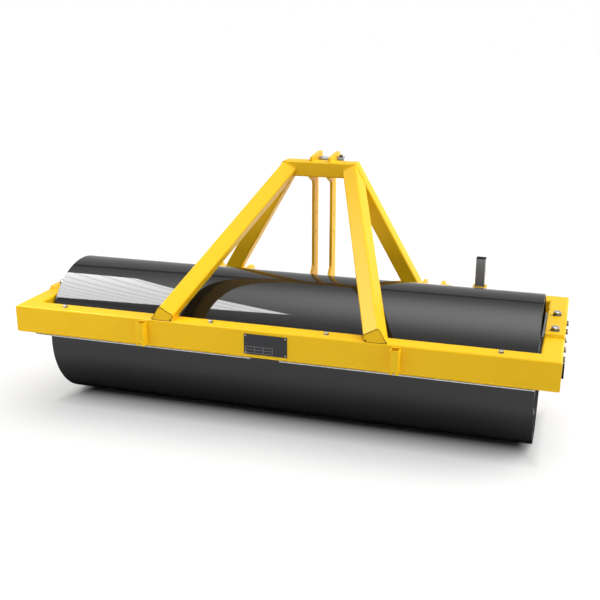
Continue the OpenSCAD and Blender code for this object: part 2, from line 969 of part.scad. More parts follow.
module scraper_nuts() {
    color(zinc)
        scraper_bolt_places()
            translate([0, 0, scraper_nut_z])
                hex_nut(scraper_bolt_d);
}

// Bearings
module top_plate_right() {
    end_y = top_plate_l / 2;
    difference() {
        along_x(bearing_x - top_plate_w / 2, bearing_x + top_plate_w / 2)
            translate([axle_y, frame_top])
                polygon([[-end_y, 0], [end_y, 0], [end_y, over], [end_y - top_plate_slope, top_plate_t],
                    [top_plate_slope - end_y, top_plate_t], [-end_y, over]]);
        bearing_bolt_holes(frame_top - over, frame_top + top_plate_t + over);
    }
}

module right_top_plate() {
    color(yellow)
        top_plate_right();
}

module left_top_plate() {
    color(yellow)
        mirror([1, 0, 0])
            top_plate_right();
}

housing_low_z = frame_bottom - housing_base_t;
nipple_z = axle_z - housing_r - nipple_len;

module housing_right() {
    difference() {
        union() {
            along_x(bearing_x - housing_base_w / 2, bearing_x + housing_base_w / 2)
                translate([axle_y - housing_base_l / 2, housing_low_z])
                    square([housing_base_l, housing_base_t]);
            along_x(bearing_x - housing_w / 2, bearing_x + housing_w / 2) {
                translate([axle_y, axle_z])
                    circle(housing_r);
                translate([axle_y - housing_r, axle_z])
                    square([2 * housing_r, frame_bottom - axle_z - housing_base_t / 2]);
            }
        }
        translate([inner_face_x, axle_y - housing_base_l / 2, frame_bottom])
            cube([beam_w, housing_base_l, beam_h]);
        bar_x(bearing_x - housing_base_w, bearing_x + housing_base_w, ring_r + weld_gap, axle_y, axle_z);
        bearing_bolt_holes(housing_low_z - over, frame_bottom + over);
        translate([bearing_x, axle_y, nipple_z])
            cylinder(d = nipple_d + 2 * fit_gap, h = nipple_len + housing_r - ring_r + over);
    }
}

module right_bearing_housing() {
    color(cast)
        housing_right();
}

module left_bearing_housing() {
    color(cast)
        mirror([1, 0, 0])
            housing_right();
}

// Ring about the axle's axis, between two radii
module axle_ring(mid_x, w, inner, outer) {
    translate([mid_x - w / 2, axle_y, axle_z])
        rotate([0, 90, 0])
            linear_extrude(w)
                difference() {
                    circle(outer);
                    circle(inner);
                }
}

module bearing_outer_rings() {
    color(zinc)
        both_sides()
            axle_ring(bearing_x, outer_ring_w, race_r, ring_r);
}

module bearing_inner_rings() {
    color(zinc)
        both_sides()
            axle_ring(bearing_x, inner_ring_w, axle_r + fit_gap, inner_r);
}

module bearing_balls() {
    color(zinc)
        both_sides()
            for (i = [0 : ball_count - 1])
                translate([bearing_x, axle_y, axle_z])
                    rotate([i * 360 / ball_count, 0, 0])
                        translate([0, 0, ball_pitch_r])
                            sphere(ball_r);
}

module bearing_seals() {
    seal_x = outer_ring_w / 2 - seal_t / 2;
    color(black)
        both_sides()
            for (s = [-1, 1])
                axle_ring(bearing_x + s * seal_x, seal_t, inner_r + loose_gap, race_r - weld_gap);
}

module grease_nipples() {
    color(zinc)
        both_sides()
            translate([bearing_x, axle_y, nipple_z])
                cylinder(d = nipple_d, h = nipple_len + (housing_r - ring_r) / 2);
}

bearing_head_z = frame_top + top_plate_t + washer_t(bearing_bolt_d);
bearing_nut_z = housing_low_z - nut_h(bearing_bolt_d);

module bearing_bolts() {
    color(zinc)
        bearing_bolt_places()
            translate([0, 0, bearing_head_z])
                hex_bolt(bearing_bolt_d, bearing_head_z - bearing_nut_z + thread_end);
}

module bearing_washers() {
    color(zinc)
        bearing_bolt_places()
            translate([0, 0, frame_top + top_plate_t])
                plain_washer(bearing_bolt_d);
}

module bearing_nuts() {
    color(zinc)
        bearing_bolt_places()
            translate([0, 0, bearing_nut_z])
                hex_nut(bearing_bolt_d);
}

// Side beam fittings
module side_bolt_places(x) {
    both_sides()
        for (i = [0 : side_bolt_count - 1])
            translate([x, side_bolt_y(i), frame_mid])
                rotate([0, 90, 0])
                    children();
}

module side_bolts() {
    color(zinc)
        side_bolt_places(side_face_x)
            hex_bolt(side_bolt_d, beam_wall + nut_h(side_bolt_d) + thread_end);
}

module side_nuts() {
    color(zinc)
        side_bolt_places(side_face_x - beam_wall - nut_h(side_bolt_d))
            hex_nut(side_bolt_d);
}

module inner_strip_right() {
    strip_l = top_plate_l - 2 * strip_inset;
    translate([inner_face_x - strip_t, axle_y - strip_l / 2, frame_top - strip_h])
        cube([strip_t, strip_l, strip_h]);
}

module right_inner_strip() {
    color(galvanised)
        inner_strip_right();
}

module left_inner_strip() {
    color(galvanised)
        mirror([1, 0, 0])
            inner_strip_right();
}

// Drum
module drum_shell() {
    color(charcoal)
        axle_ring(0, 2 * drum_end_x, drum_r - shell_t, drum_r);
}

disc_r = drum_r - shell_t - weld_gap;
disc_mid_x = disc_face_x - disc_t / 2;

module left_end_disc() {
    color(charcoal)
        axle_ring(-disc_mid_x, disc_t, axle_r + weld_gap, disc_r);
}

module right_end_disc() {
    color(charcoal)
        difference() {
            axle_ring(disc_mid_x, disc_t, axle_r + weld_gap, disc_r);
            bar_x(disc_back_x - over, disc_face_x + over, plug_d / 2 + fit_gap,
                axle_y, axle_z - plug_radius);
        }
}

module drum_stiffener() {
    color(charcoal)
        axle_ring(0, stiffener_t, stiffener_hole_d / 2, disc_r);
}

module filler_plug() {
    flange_t = disc_recess / 4;
    color(zinc)
        translate([disc_back_x, axle_y, axle_z - plug_radius])
            rotate([0, 90, 0]) {
                cylinder(d = plug_d, h = disc_t + flange_t);
                translate([0, 0, disc_t])
                    cylinder(d = plug_flange_d, h = flange_t);
                translate([0, 0, disc_t])
                    hexagon(plug_af, disc_recess - over);
            }
}

module axle_right() {
    centre_mark_r = axle_r / 6;
    difference() {
        union() {
            bar_x(disc_back_x - axle_root, side_face_x + axle_proud, axle_r, axle_y, axle_z);
            bar_x(disc_back_x - hub_t, disc_back_x, hub_d / 2, axle_y, axle_z);
        }
        translate([side_face_x + axle_proud - centre_mark_r, axle_y, axle_z])
            rotate([0, 90, 0])
                cylinder(r1 = 0, r2 = centre_mark_r + over, h = centre_mark_r + over);
    }
}

module right_axle() {
    color(black)
        axle_right();
}

module left_axle() {
    color(black)
        mirror([1, 0, 0])
            axle_right();
}

// Parking stand
stand_top_z = frame_top + stand_rise;
leg_top_z = stand_top_z - cap_lip;

module stand_sleeve() {
    color(yellow)
        difference() {
            translate([stand_x, tube_mid_y, frame_bottom - sleeve_drop])
                linear_extrude(sleeve_drop + beam_h + sleeve_rise)
                    tube_section(sleeve_w, sleeve_w, (sleeve_w - sleeve_inner_w) / 2, sleeve_round);
            bar_y(tube_mid_y, clamp_boss_y + over, clamp_d / 2 + fit_gap, stand_x, clamp_z);
        }
}

module clamp_boss() {
    color(yellow)
        difference() {
            bar_y(clamp_boss_y, clamp_boss_y + clamp_boss_len, clamp_boss_d / 2, stand_x, clamp_z);
            bar_y(clamp_boss_y - over, clamp_boss_y + clamp_boss_len + over,
                clamp_d / 2 + fit_gap, stand_x, clamp_z);
        }
}

// Upright bar through the clamp screw's head
module clamp_cross_bar(len, r) {
    translate([stand_x, clamp_end_y - clamp_head_l / 2, clamp_z - len / 2])
        cylinder(r = r, h = len);
}

module clamp_screw() {
    color(zinc)
        difference() {
            union() {
                bar_y(clamp_tip_y, clamp_end_y, clamp_d / 2, stand_x, clamp_z);
                bar_y(clamp_end_y - clamp_head_l, clamp_end_y, clamp_head_d / 2, stand_x, clamp_z);
            }
            clamp_cross_bar(2 * clamp_head_d, clamp_handle_d / 2 + fit_gap);
        }
}

module clamp_handle() {
    color(zinc)
        clamp_cross_bar(clamp_handle_len, clamp_handle_d / 2);
}

module stand_leg() {
    color(galvanised)
        difference() {
            translate([stand_x, tube_mid_y, foot_t])
                linear_extrude(leg_top_z - foot_t)
                    tube_section(stand_w, stand_w, stand_wall, stand_round);
            for (i = [0 : stand_hole_count - 1])
                bar_x(stand_x - stand_w, stand_x + stand_w, stand_hole_d / 2, tube_mid_y,
                    stand_top_z - stand_hole_drop - i * stand_hole_pitch);
        }
}

module stand_foot() {
    color(galvanised)
        translate([stand_x - foot_w / 2, tube_mid_y - foot_w / 2, 0])
            cube([foot_w, foot_w, foot_t]);
}

module stand_cap() {
    plug_w = stand_w - 2 * stand_wall - 2 * weld_gap;
    color(black)
        translate([stand_x, tube_mid_y, leg_top_z]) {
            linear_extrude(cap_lip)
                rounded_rect(stand_w, stand_w, stand_round);
            translate([0, 0, -cap_depth])
                linear_extrude(cap_depth + over)
                    rounded_rect(plug_w, plug_w, stand_wall);
        }
}

rear_beam();
front_beam();
left_side_beam();
right_side_beam();
crossbar();
left_mast_leg();
right_mast_leg();
left_rear_brace();
right_rear_brace();
left_brace_cap();
right_brace_cap();
left_mast_plate();
right_mast_plate();
left_hitch_ears();
right_hitch_ears();
left_hitch_gussets();
right_hitch_gussets();
left_rear_socket();
right_rear_socket();
data_plate();
plate_rivets();
left_scraper();
right_scraper();
scraper_bolts();
scraper_washers();
scraper_nuts();
left_top_plate();
right_top_plate();
left_bearing_housing();
right_bearing_housing();
bearing_outer_rings();
bearing_balls();
bearing_seals();
grease_nipples();
bearing_bolts();
bearing_washers();
bearing_nuts();
side_bolts();
side_nuts();
left_inner_strip();
right_inner_strip();
stand_sleeve();
clamp_boss();
drum_shell();
left_end_disc();
right_end_disc();
drum_stiffener();
filler_plug();
left_axle();
right_axle();
bearing_inner_rings();
stand_leg();
stand_foot();
stand_cap();
clamp_screw();
clamp_handle();
top_link_pin();
linch_pin();
linch_ring();
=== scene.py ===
# %% [markdown]
# # A lawn roller for a three-point hitch
# The solids of the roller come in as a fixed frame. This lesson gives them paint, zinc and iron,
# swaps the plain drum and fasteners for finer ones, and adds the weld beads that hold it together.

# %% Load the frame
import json
import math

import bmesh
import bpy
from mathutils import Matrix, Vector
from mathutils.geometry import convex_hull_2d


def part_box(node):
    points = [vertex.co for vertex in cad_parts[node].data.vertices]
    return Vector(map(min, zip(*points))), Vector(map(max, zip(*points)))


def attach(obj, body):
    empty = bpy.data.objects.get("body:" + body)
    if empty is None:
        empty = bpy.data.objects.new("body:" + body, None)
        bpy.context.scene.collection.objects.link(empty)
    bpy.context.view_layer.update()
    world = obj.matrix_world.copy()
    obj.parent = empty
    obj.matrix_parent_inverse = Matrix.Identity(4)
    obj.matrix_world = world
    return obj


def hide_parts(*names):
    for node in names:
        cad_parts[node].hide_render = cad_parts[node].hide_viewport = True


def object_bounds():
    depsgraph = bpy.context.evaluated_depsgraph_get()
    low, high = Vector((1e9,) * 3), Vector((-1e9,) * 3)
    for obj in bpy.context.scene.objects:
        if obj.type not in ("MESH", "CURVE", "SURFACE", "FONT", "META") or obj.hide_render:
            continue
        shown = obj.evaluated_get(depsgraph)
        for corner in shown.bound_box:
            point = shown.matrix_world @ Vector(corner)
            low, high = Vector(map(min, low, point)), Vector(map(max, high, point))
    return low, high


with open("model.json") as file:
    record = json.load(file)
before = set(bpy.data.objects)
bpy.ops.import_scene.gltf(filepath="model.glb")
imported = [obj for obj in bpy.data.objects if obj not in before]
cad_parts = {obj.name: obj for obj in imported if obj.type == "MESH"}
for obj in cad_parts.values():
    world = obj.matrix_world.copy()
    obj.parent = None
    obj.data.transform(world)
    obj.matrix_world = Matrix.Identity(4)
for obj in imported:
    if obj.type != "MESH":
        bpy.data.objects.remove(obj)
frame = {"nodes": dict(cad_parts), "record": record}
NODES = frame["nodes"]
cad_box = [list(corner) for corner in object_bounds()]
scene = bpy.context.scene
print("solids:", len(NODES), "box:", cad_box)

# %% [markdown]
# ## Measures
# Every piece below takes its place from the solids. The few planes that many pieces share get a name
# here. Blender counts in metres, so small sizes are written as a number of millimetres times `MM`.

# %% Shared planes of the machine
MM = 0.001
REAR_FACE_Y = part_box("rear_beam")[0].y
FRAME_TOP_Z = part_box("rear_beam")[1].z
FRONT_FACE_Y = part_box("front_beam")[1].y
PORTAL_REAR_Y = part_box("crossbar")[0].y
CROSSBAR_BOTTOM_Z, CROSSBAR_TOP_Z = [corner.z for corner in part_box("crossbar")]
drum_low, drum_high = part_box("drum_shell")
DRUM_RADIUS = (drum_high.z - drum_low.z) / 2
DRUM_AXIS = Vector((0, (drum_low.y + drum_high.y) / 2, (drum_low.z + drum_high.z) / 2))
DRUM_HALF = drum_high.x
print("drum radius", round(DRUM_RADIUS, 3), "half length", round(DRUM_HALF, 3))

# %% [markdown]
# ## Camera
# The camera stands behind the roller, a little to its right and above it. Its lens and place follow
# from the vanishing points of the frame's edges in a square picture. Angles are in radians.

# %% Camera
PICTURE_PX = 600
FOCAL_PX = 903
SENSOR_MM = 36
CAMERA_PLACE = (1.1496, -3.6567, 1.6884)
CAMERA_TURN = 0.3049
CAMERA_DIP = 0.3029


def new_object(name, data):
    made = bpy.data.objects.new(name, data)
    scene.collection.objects.link(made)
    return made


camera_data = bpy.data.cameras.new("camera")
camera_data.sensor_width = SENSOR_MM
camera_data.lens = SENSOR_MM * FOCAL_PX / PICTURE_PX
camera = new_object("camera", camera_data)
camera.location = CAMERA_PLACE
camera.rotation_euler = (math.pi / 2 - CAMERA_DIP, 0, CAMERA_TURN)
scene.camera = camera
scene.view_settings.view_transform = "Standard"
print("lens", round(camera_data.lens, 2), "mm")

# %% [markdown]
# ## Shader arithmetic
# A finish is easier to read as a formula than as a web of nodes. `Value` wraps a socket, so that
# `1 - mask * 0.5` adds the Math nodes by itself, whichever side the plain number is on.


# %% Value
class Value:
    """A number that changes over a surface."""

    def __init__(self, tree, socket):
        self.tree = tree
        self.socket = socket

    def math(self, operation, left, right=0.0):
        node = self.tree.nodes.new("ShaderNodeMath")
        node.operation = operation
        for slot, item in zip(node.inputs, (left, right)):
            if isinstance(item, Value):
                self.tree.links.new(item.socket, slot)
            else:
                slot.default_value = item
        return Value(self.tree, node.outputs[0])

    def __add__(self, other):
        return self.math("ADD", self, other)

    def __radd__(self, other):
        return self.math("ADD", other, self)

    def __sub__(self, other):
        return self.math("SUBTRACT", self, other)

    def __rsub__(self, other):
        return self.math("SUBTRACT", other, self)

    def __mul__(self, other):
        return self.math("MULTIPLY", self, other)

    def __rmul__(self, other):
        return self.math("MULTIPLY", other, self)

    def __truediv__(self, other):
        return self.math("DIVIDE", self, other)

    def __rtruediv__(self, other):
        return self.math("DIVIDE", other, self)

    def __lt__(self, other):
        return self.math("LESS_THAN", self, other)

    def __gt__(self, other):
        return self.math("GREATER_THAN", self, other)

    def power(self, exponent):
        return self.math("POWER", self, exponent)

    def fraction(self):
        return self.math("FRACT", self)

    def size(self):
        return self.math("ABSOLUTE", self)

    def larger(self, other):
        return self.math("MAXIMUM", self, other)

    def clamped(self):
        result = self.math("ADD", self)
        result.socket.node.use_clamp = True
        return result

    def eased(self):
        """A ramp from 0 to 1 with a soft start and a soft end."""
        return self * self * (3 - self * 2)


print("shader arithmetic ready")

# %% [markdown]
# ## Node graphs
# `Graph` adds any other node to a tree, with its settings first and its sockets second. `Finish` is the
# graph of one material. Most finishes have two tones and a gloss that follow one noise, so `tint` sets
# all three at once.

# %% Graph and Finish
MIX_FIRST, MIX_SECOND, MIX_RESULT = 6, 7, 2  # places of a Mix node's colour sockets


class Graph:
    """A node tree that grows by one node at a time."""

    def __init__(self, tree):
        self.tree = tree

    def node(self, kind, settings=None, sockets=None):
        node = self.tree.nodes.new(kind)
        for words, setting in (settings or {}).items():
            setattr(node, words, setting)
        for words, item in (sockets or {}).items():
            self.feed(node.inputs[words], item)
        return node

    def feed(self, slot, item):
        if isinstance(item, Value):
            self.tree.links.new(item.socket, slot)
        elif isinstance(item, bpy.types.NodeSocket):
            self.tree.links.new(item, slot)
        else:
            slot.default_value = item

    def value(self, socket):
        return Value(self.tree, socket)

    def split(self, vector):
        node = self.node("ShaderNodeSeparateXYZ", sockets={"Vector": vector})
        return [self.value(node.outputs[words]) for words in "XYZ"]

    def noise(self, size, detail=2.0, vector=None):
        sockets = {"Vector": vector or self.place(), "Scale": 1 / size, "Detail": detail}
        return self.value(self.node("ShaderNodeTexNoise", sockets=sockets).outputs["Fac"])


class Finish(Graph):
    """One material with a Principled surface."""

    def __init__(self, name, **constants):
        self.material = bpy.data.materials.new(name)
        self.material.use_nodes = True
        super().__init__(self.material.node_tree)
        self.surface = self.tree.nodes["Principled BSDF"]
        for words, amount in constants.items():
            self.surface.inputs[words.replace("_", " ")].default_value = amount

    def place(self):
        return self.node("ShaderNodeTexCoord").outputs["Object"]

    def stretched(self, scale):
        mapping = self.node("ShaderNodeMapping", sockets={"Vector": self.place(), "Scale": scale})
        return mapping.outputs["Vector"]

    def blend(self, amount, first, second):
        mix = self.node("ShaderNodeMix", {"data_type": "RGBA"})
        self.feed(mix.inputs["Factor"], amount)
        self.feed(mix.inputs[MIX_FIRST], first)
        self.feed(mix.inputs[MIX_SECOND], second)
        return mix.outputs[MIX_RESULT]

    def grey(self, amount):
        sockets = {"Red": amount, "Green": amount, "Blue": amount}
        return self.node("ShaderNodeCombineColor", sockets=sockets).outputs["Color"]

    def set(self, words, item):
        self.feed(self.surface.inputs[words], item)

    def tint(self, mask, dark, pale, roughness, spread, gloss=None):
        """Two tones that follow a mask, and a roughness that follows it or another one."""
        self.set("Base Color", self.blend(mask, (*dark, 1), (*pale, 1)))
        self.set("Roughness", roughness + (gloss or mask) * spread)

    def bump(self, height, depth):
        node = self.node("ShaderNodeBump", sockets={"Height": height, "Distance": depth, "Strength": 1.0})
        self.set("Normal", node.outputs["Normal"])


print("node graphs ready")

# %% [markdown]
# ## Paints
# The frame is powder coated: an even yellow with the fine orange-peel that such paint dries to. The
# drum is sprayed in charcoal, smooth enough to mirror the braces. A broad noise keeps both from looking
# like plastic. A fine one gives the skin of the powder coat, and one drawn out around the drum gives
# the faint streaks in its gloss.

# %% Paints
FRAME_CLOUD = 450 * MM
PEEL_SIZE = 2.2 * MM
PEEL_DEPTH = 0.06 * MM
DRUM_CLOUD = 300 * MM
STREAK_SIZE = 30 * MM
STREAK_SCALE = (6.0, 0.35, 0.35)
BLACK_CLOUD = 20 * MM


def powder_coat():
    look = Finish("yellow_powder_coat", Specular_IOR_Level=0.15)
    look.tint(look.noise(FRAME_CLOUD), dark=(0.93, 0.545, 0.006), pale=(0.97, 0.6, 0.012),
              roughness=0.3, spread=0.08)
    look.bump(look.noise(PEEL_SIZE, detail=1.0), PEEL_DEPTH)
    return look.material


def drum_coat():
    look = Finish("charcoal_drum_paint", Specular_IOR_Level=0.5)
    streaks = look.noise(STREAK_SIZE, vector=look.stretched(STREAK_SCALE))
    look.tint(look.noise(DRUM_CLOUD), dark=(0.011, 0.011, 0.0115), pale=(0.014, 0.014, 0.0146),
              roughness=0.03, spread=0.03, gloss=streaks)
    return look.material


def black_coat():
    look = Finish("black_paint", Specular_IOR_Level=0.2)
    look.tint(look.noise(BLACK_CLOUD), dark=(0.006, 0.006, 0.006), pale=(0.013, 0.013, 0.013),
              roughness=0.25, spread=0.15)
    return look.material


YELLOW = powder_coat()
CHARCOAL = drum_coat()
BLACK = black_coat()
print("paints:", YELLOW.name, CHARCOAL.name, BLACK.name)

# %% [markdown]
# ## Bare metal
# Zinc plate on bolts is bright with a faint cloud, and darker towards the base of heads and washers, a
# painted shade that an attribute sets.
# Hot-dip galvanised strips show flat crystals, the spangle, which cells of a Voronoi texture give. The
# pins and the stand are plainer, so one function makes all three.

# %% Metals
ZINC_CLOUD = 6 * MM
ZINC_DARK = (0.6, 0.6, 0.59, 1)
ZINC_PALE = (0.82, 0.82, 0.81, 1)
ZINC_ROUGH = 0.16
CLOUD_ROUGH = 0.12
# Painted shade towards the base of heads and washers: its tone, added roughness and curve
BASE_SHADE_TONE = (0.05, 0.042, 0.034, 1)
BASE_SHADE_ROUGH = 0.2
BASE_SHADE_CURVE = 0.7
SPANGLES_PER_METRE = 90.0


def zinc_plate():
    look = Finish("zinc_plate", Metallic=1.0)
    cloud = look.noise(ZINC_CLOUD)
    # Painted shade: darker and rougher towards the base, as the attribute says
    kept = look.node("ShaderNodeAttribute", {"attribute_name": "base_shade"})
    base_shade = look.value(kept.outputs["Fac"]).power(BASE_SHADE_CURVE)
    look.set("Base Color", look.blend(base_shade, look.blend(cloud, ZINC_DARK, ZINC_PALE), BASE_SHADE_TONE))
    look.set("Roughness", ZINC_ROUGH + cloud * CLOUD_ROUGH + base_shade * BASE_SHADE_ROUGH)
    return look.material


def galvanised():
    look = Finish("galvanised_steel", Metallic=1.0)
    cells = look.node("ShaderNodeTexVoronoi", {"feature": "F1"}, {
        "Vector": look.place(), "Scale": SPANGLES_PER_METRE})
    shade = look.node("ShaderNodeSeparateColor", sockets={"Color": cells.outputs["Color"]})
    look.tint(look.value(shade.outputs["Red"]), dark=(0.46, 0.47, 0.48), pale=(0.66, 0.67, 0.68),
              roughness=0.34, spread=0.2)
    return look.material


def plain_metal(name, dark, pale, cloud, roughness, spread):
    look = Finish(name, Metallic=1.0)
    look.tint(look.noise(cloud), dark, pale, roughness, spread)
    return look.material


ZINC = zinc_plate()
GALVANISED = galvanised()
PIN_STEEL = plain_metal("pin_steel", (0.2, 0.21, 0.22), (0.3, 0.31, 0.33),
                        cloud=8 * MM, roughness=0.3, spread=0.12)
LINCH_STEEL = plain_metal("linch_steel", (0.1, 0.088, 0.075), (0.17, 0.15, 0.13),
                          cloud=4 * MM, roughness=0.4, spread=0.15)
STAND_STEEL = plain_metal("stand_zinc", (0.44, 0.44, 0.44), (0.55, 0.55, 0.54),
                          cloud=12 * MM, roughness=0.3, spread=0.1)
print("metals:", ZINC.name, GALVANISED.name, PIN_STEEL.name, LINCH_STEEL.name, STAND_STEEL.name)

# %% [markdown]
# ## Iron, rubber, plastic and the data plate
# Cast iron has a pebbled skin, and rubber and plastic have a finer one, so all three use a grain that
# also lifts the surface. The same function makes the painted shade that stands for the dark inside of
# open gaps. The data plate is dark, with a few ruled cells.

# %% Dull materials
CELL_MARGIN = 6 * MM
CELL_WIDTH = 38 * MM
CELL_HEIGHT = 13 * MM
CELL_LINE = 2 * MM
CELL_COLUMNS = 3
CELL_ROWS = 2
PLATE_CLOUD = 4 * MM


def grained(name, dark, pale, size, roughness, shine, spread=0.15, depth=0.08 * MM):
    look = Finish(name, Specular_IOR_Level=shine)
    grain = look.noise(size, detail=3.0)
    look.tint(grain, dark, pale, roughness, spread)
    look.bump(grain, depth)
    return look.material


def data_plate_print():
    look = Finish("plate_print", Specular_IOR_Level=0.3)
    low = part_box("data_plate")[0]
    x, _, z = look.split(look.place())
    column = (x - (low.x + CELL_MARGIN)) / CELL_WIDTH
    row = (z - (low.z + CELL_MARGIN)) / CELL_HEIGHT
    edge_x = CELL_LINE / CELL_WIDTH
    edge_z = CELL_LINE / CELL_HEIGHT
    line = (column.fraction() < edge_x).larger(row.fraction() < edge_z)
    inside = (column > 0) * (column < CELL_COLUMNS + edge_x) * (row > 0) * (row < CELL_ROWS + edge_z)
    look.tint(line * inside, dark=(0.03, 0.03, 0.034), pale=(0.17, 0.17, 0.175),
              roughness=0.38, spread=0.1, gloss=look.noise(PLATE_CLOUD))
    return look.material


IRON = grained("housing_iron", (0.02, 0.021, 0.022), (0.045, 0.046, 0.048),
               size=2.5 * MM, roughness=0.5, shine=0.4, spread=0.2, depth=0.4 * MM)
RUBBER = grained("seal_rubber", (0.004, 0.004, 0.004), (0.012, 0.012, 0.012),
                 size=2 * MM, roughness=0.6, shine=0.4)
PLASTIC = grained("cap_plastic", (0.004, 0.004, 0.004), (0.012, 0.012, 0.012),
                  size=1.2 * MM, roughness=0.5, shine=0.08)
# Painted shade: a near-black brown for the shadow inside small openings and gaps
GAP_SHADE = grained("open_gap", (0.02, 0.012, 0.003), (0.05, 0.03, 0.008),
              size=2 * MM, roughness=0.6, shine=0.1)
PLATE_PRINT = data_plate_print()
print("dull materials:", IRON.name, RUBBER.name, PLASTIC.name, GAP_SHADE.name, PLATE_PRINT.name)

# %% [markdown]
# ## Dress the solids
# Most solids already have the right shape, so they only need their finish. The record says which
# material slot each node takes, and a table turns slots into the finishes above. The pins and the
# stand have a finish of their own.

# %% Give each solid its finish
SLOT_FINISH = {
    "frame_paint": YELLOW,
    "drum_paint": CHARCOAL,
    "black_paint": BLACK,
    "zinc": ZINC,
    "galvanised": GALVANISED,
    "housing_iron": IRON,
    "seal_rubber": RUBBER,
    "cap_plastic": PLASTIC,
    "plate_aluminium": PLATE_PRINT,
}
NODE_FINISH = {
    "stand_leg": STAND_STEEL,
    "stand_foot": STAND_STEEL,
    "top_link_pin": PIN_STEEL,
    "linch_pin": LINCH_STEEL,
    "linch_ring": PIN_STEEL,
}


def dress(solid, material):
    solid.data.materials.clear()
    solid.data.materials.append(material)


for part in frame["record"]["subparts"]:
    name = part["node"]
    dress(NODES[name], NODE_FINISH.get(name, SLOT_FINISH[part["material_slot"]]))

# %% [markdown]
# ## Pieces from mesh code
# A new piece is a mesh at the origin that rides on a body, takes its finish, and hides the solids that it
# stands for. One function does all of that, so nothing is forgotten.


# %% Piece helper
def add_piece(name, mesh, body, material=None, stands_for=()):
    piece = new_object(name, mesh)
    if material:
        dress(piece, material)
    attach(piece, body)
    if stands_for:
        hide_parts(*stands_for)
    print(name, len(mesh.polygons), "faces on", body)


def mesh_from(name, build):
    tool = bmesh.new()
    build(tool)
    bmesh.ops.recalc_face_normals(tool, faces=tool.faces)
    mesh = bpy.data.meshes.new(name)
    tool.to_mesh(mesh)
    tool.free()
    return mesh


print("piece helper ready")

# %% [markdown]
# ## Drum
# The drum mirrors its surroundings, so its facets must not show. A profile of one wall, with its edges
# broken by a small radius, is spun about the axle in many steps and shaded smooth. A guard ring beside
# each edge keeps the edge's tilt out of the normals of the long face.

# %% Drum shell
DRUM_WALL = 8 * MM
EDGE_RADIUS = 2 * MM
EDGE_STEPS = 4
DRUM_STEPS = 240


def edge_arc(centre_x, centre_r, start, sweep):
    points = []
    for i in range(EDGE_STEPS + 1):
        angle = start + sweep * i / EDGE_STEPS
        x = centre_x + EDGE_RADIUS * math.cos(angle)
        points.append((x, centre_r + EDGE_RADIUS * math.sin(angle)))
    return points


def drum_profile():
    bore = DRUM_RADIUS - DRUM_WALL
    end = DRUM_HALF - EDGE_RADIUS
    guard = end - EDGE_RADIUS
    outer = DRUM_RADIUS - EDGE_RADIUS
    inner = bore + EDGE_RADIUS
    quarter = math.pi / 2
    points = [(guard, DRUM_RADIUS)]
    points += edge_arc(end, outer, quarter, -quarter)
    points += edge_arc(end, inner, 0, -quarter)
    points += [(guard, bore), (-guard, bore)]
    points += edge_arc(-end, inner, -quarter, -quarter)
    points += edge_arc(-end, outer, 2 * quarter, -quarter)
    points.append((-guard, DRUM_RADIUS))
    return points


def build_drum(tool):
    profile = drum_profile()
    rings = []
    for step in range(DRUM_STEPS):
        angle = 2 * math.pi * step / DRUM_STEPS
        turn = Vector((0, math.cos(angle), math.sin(angle)))
        ring = [tool.verts.new(DRUM_AXIS + turn * r + Vector((x, 0, 0))) for x, r in profile]
        rings.append(ring)
    for ring, following in zip(rings, rings[1:] + rings[:1]):
        for i in range(len(profile)):
            j = (i + 1) % len(profile)
            tool.faces.new((ring[i], ring[j], following[j], following[i]))


drum_mesh = mesh_from("smooth_drum", build_drum)
drum_mesh.shade_smooth()
add_piece("smooth_drum", drum_mesh, "drum", CHARCOAL, ["drum_shell"])

# %% [markdown]
# ## Geometry Nodes tools
# Bolts, rivets and weld beads repeat, so each is described once as a node tree. `Tool` is the graph of
# such a tree, with named inputs. `grow` runs it on a seed mesh and keeps the result as a plain mesh.


# %% Geometry Nodes helpers
class Tool(Graph):
    """A Geometry Nodes tree that turns a seed mesh into one finished mesh."""

    def __init__(self, name, inputs, material):
        super().__init__(bpy.data.node_groups.new(name, "GeometryNodeTree"))
        sockets = self.tree.interface
        sockets.new_socket("Seed", in_out="INPUT", socket_type="NodeSocketGeometry")
        sockets.new_socket("Result", in_out="OUTPUT", socket_type="NodeSocketGeometry")
        for words in inputs:
            sockets.new_socket(words, in_out="INPUT", socket_type="NodeSocketFloat")
        self.start = self.node("NodeGroupInput")
        self.material = material

    def given(self, words):
        return self.value(self.start.outputs[words])

    def place(self):
        return self.node("GeometryNodeInputPosition").outputs[0]

    def joined(self, *shapes):
        join = self.node("GeometryNodeJoinGeometry")
        for shape in shapes:
            self.tree.links.new(shape, join.inputs[0])
        return join.outputs[0]

    def moved(self, shape, x, y, z):
        spot = self.node("ShaderNodeCombineXYZ", sockets={"X": x, "Y": y, "Z": z})
        return self.node("GeometryNodeSetPosition", sockets={
            "Geometry": shape, "Position": spot.outputs[0]}).outputs[0]

    def stored(self, shape, words, amount):
        return self.node("GeometryNodeStoreNamedAttribute", {"data_type": "FLOAT", "domain": "POINT"}, {
            "Geometry": shape, "Name": words, "Value": amount}).outputs[0]

    def smooth(self, shape):
        return self.node("GeometryNodeSetShadeSmooth", sockets={"Geometry": shape}).outputs[0]

    def close(self, shape):
        real = self.node("GeometryNodeRealizeInstances", sockets={"Geometry": shape})
        painted = self.node("GeometryNodeSetMaterial", sockets={
            "Geometry": real.outputs[0], "Material": self.material})
        end = self.node("NodeGroupOutput")
        self.tree.links.new(painted.outputs[0], end.inputs[0])


def grow(tool, name, seed, **amounts):
    host = new_object(name, seed)
    modifier = host.modifiers.new("tool", "NODES")
    modifier.node_group = tool.tree
    for item in tool.tree.interface.items_tree:
        words = item.name.replace(" ", "_").lower()
        if words in amounts:
            modifier[item.identifier] = amounts[words]
    evaluated = host.evaluated_get(bpy.context.evaluated_depsgraph_get())
    mesh = bpy.data.meshes.new_from_object(evaluated)
    host.modifiers.clear()
    bpy.data.objects.remove(host)
    mesh.name = name
    return mesh


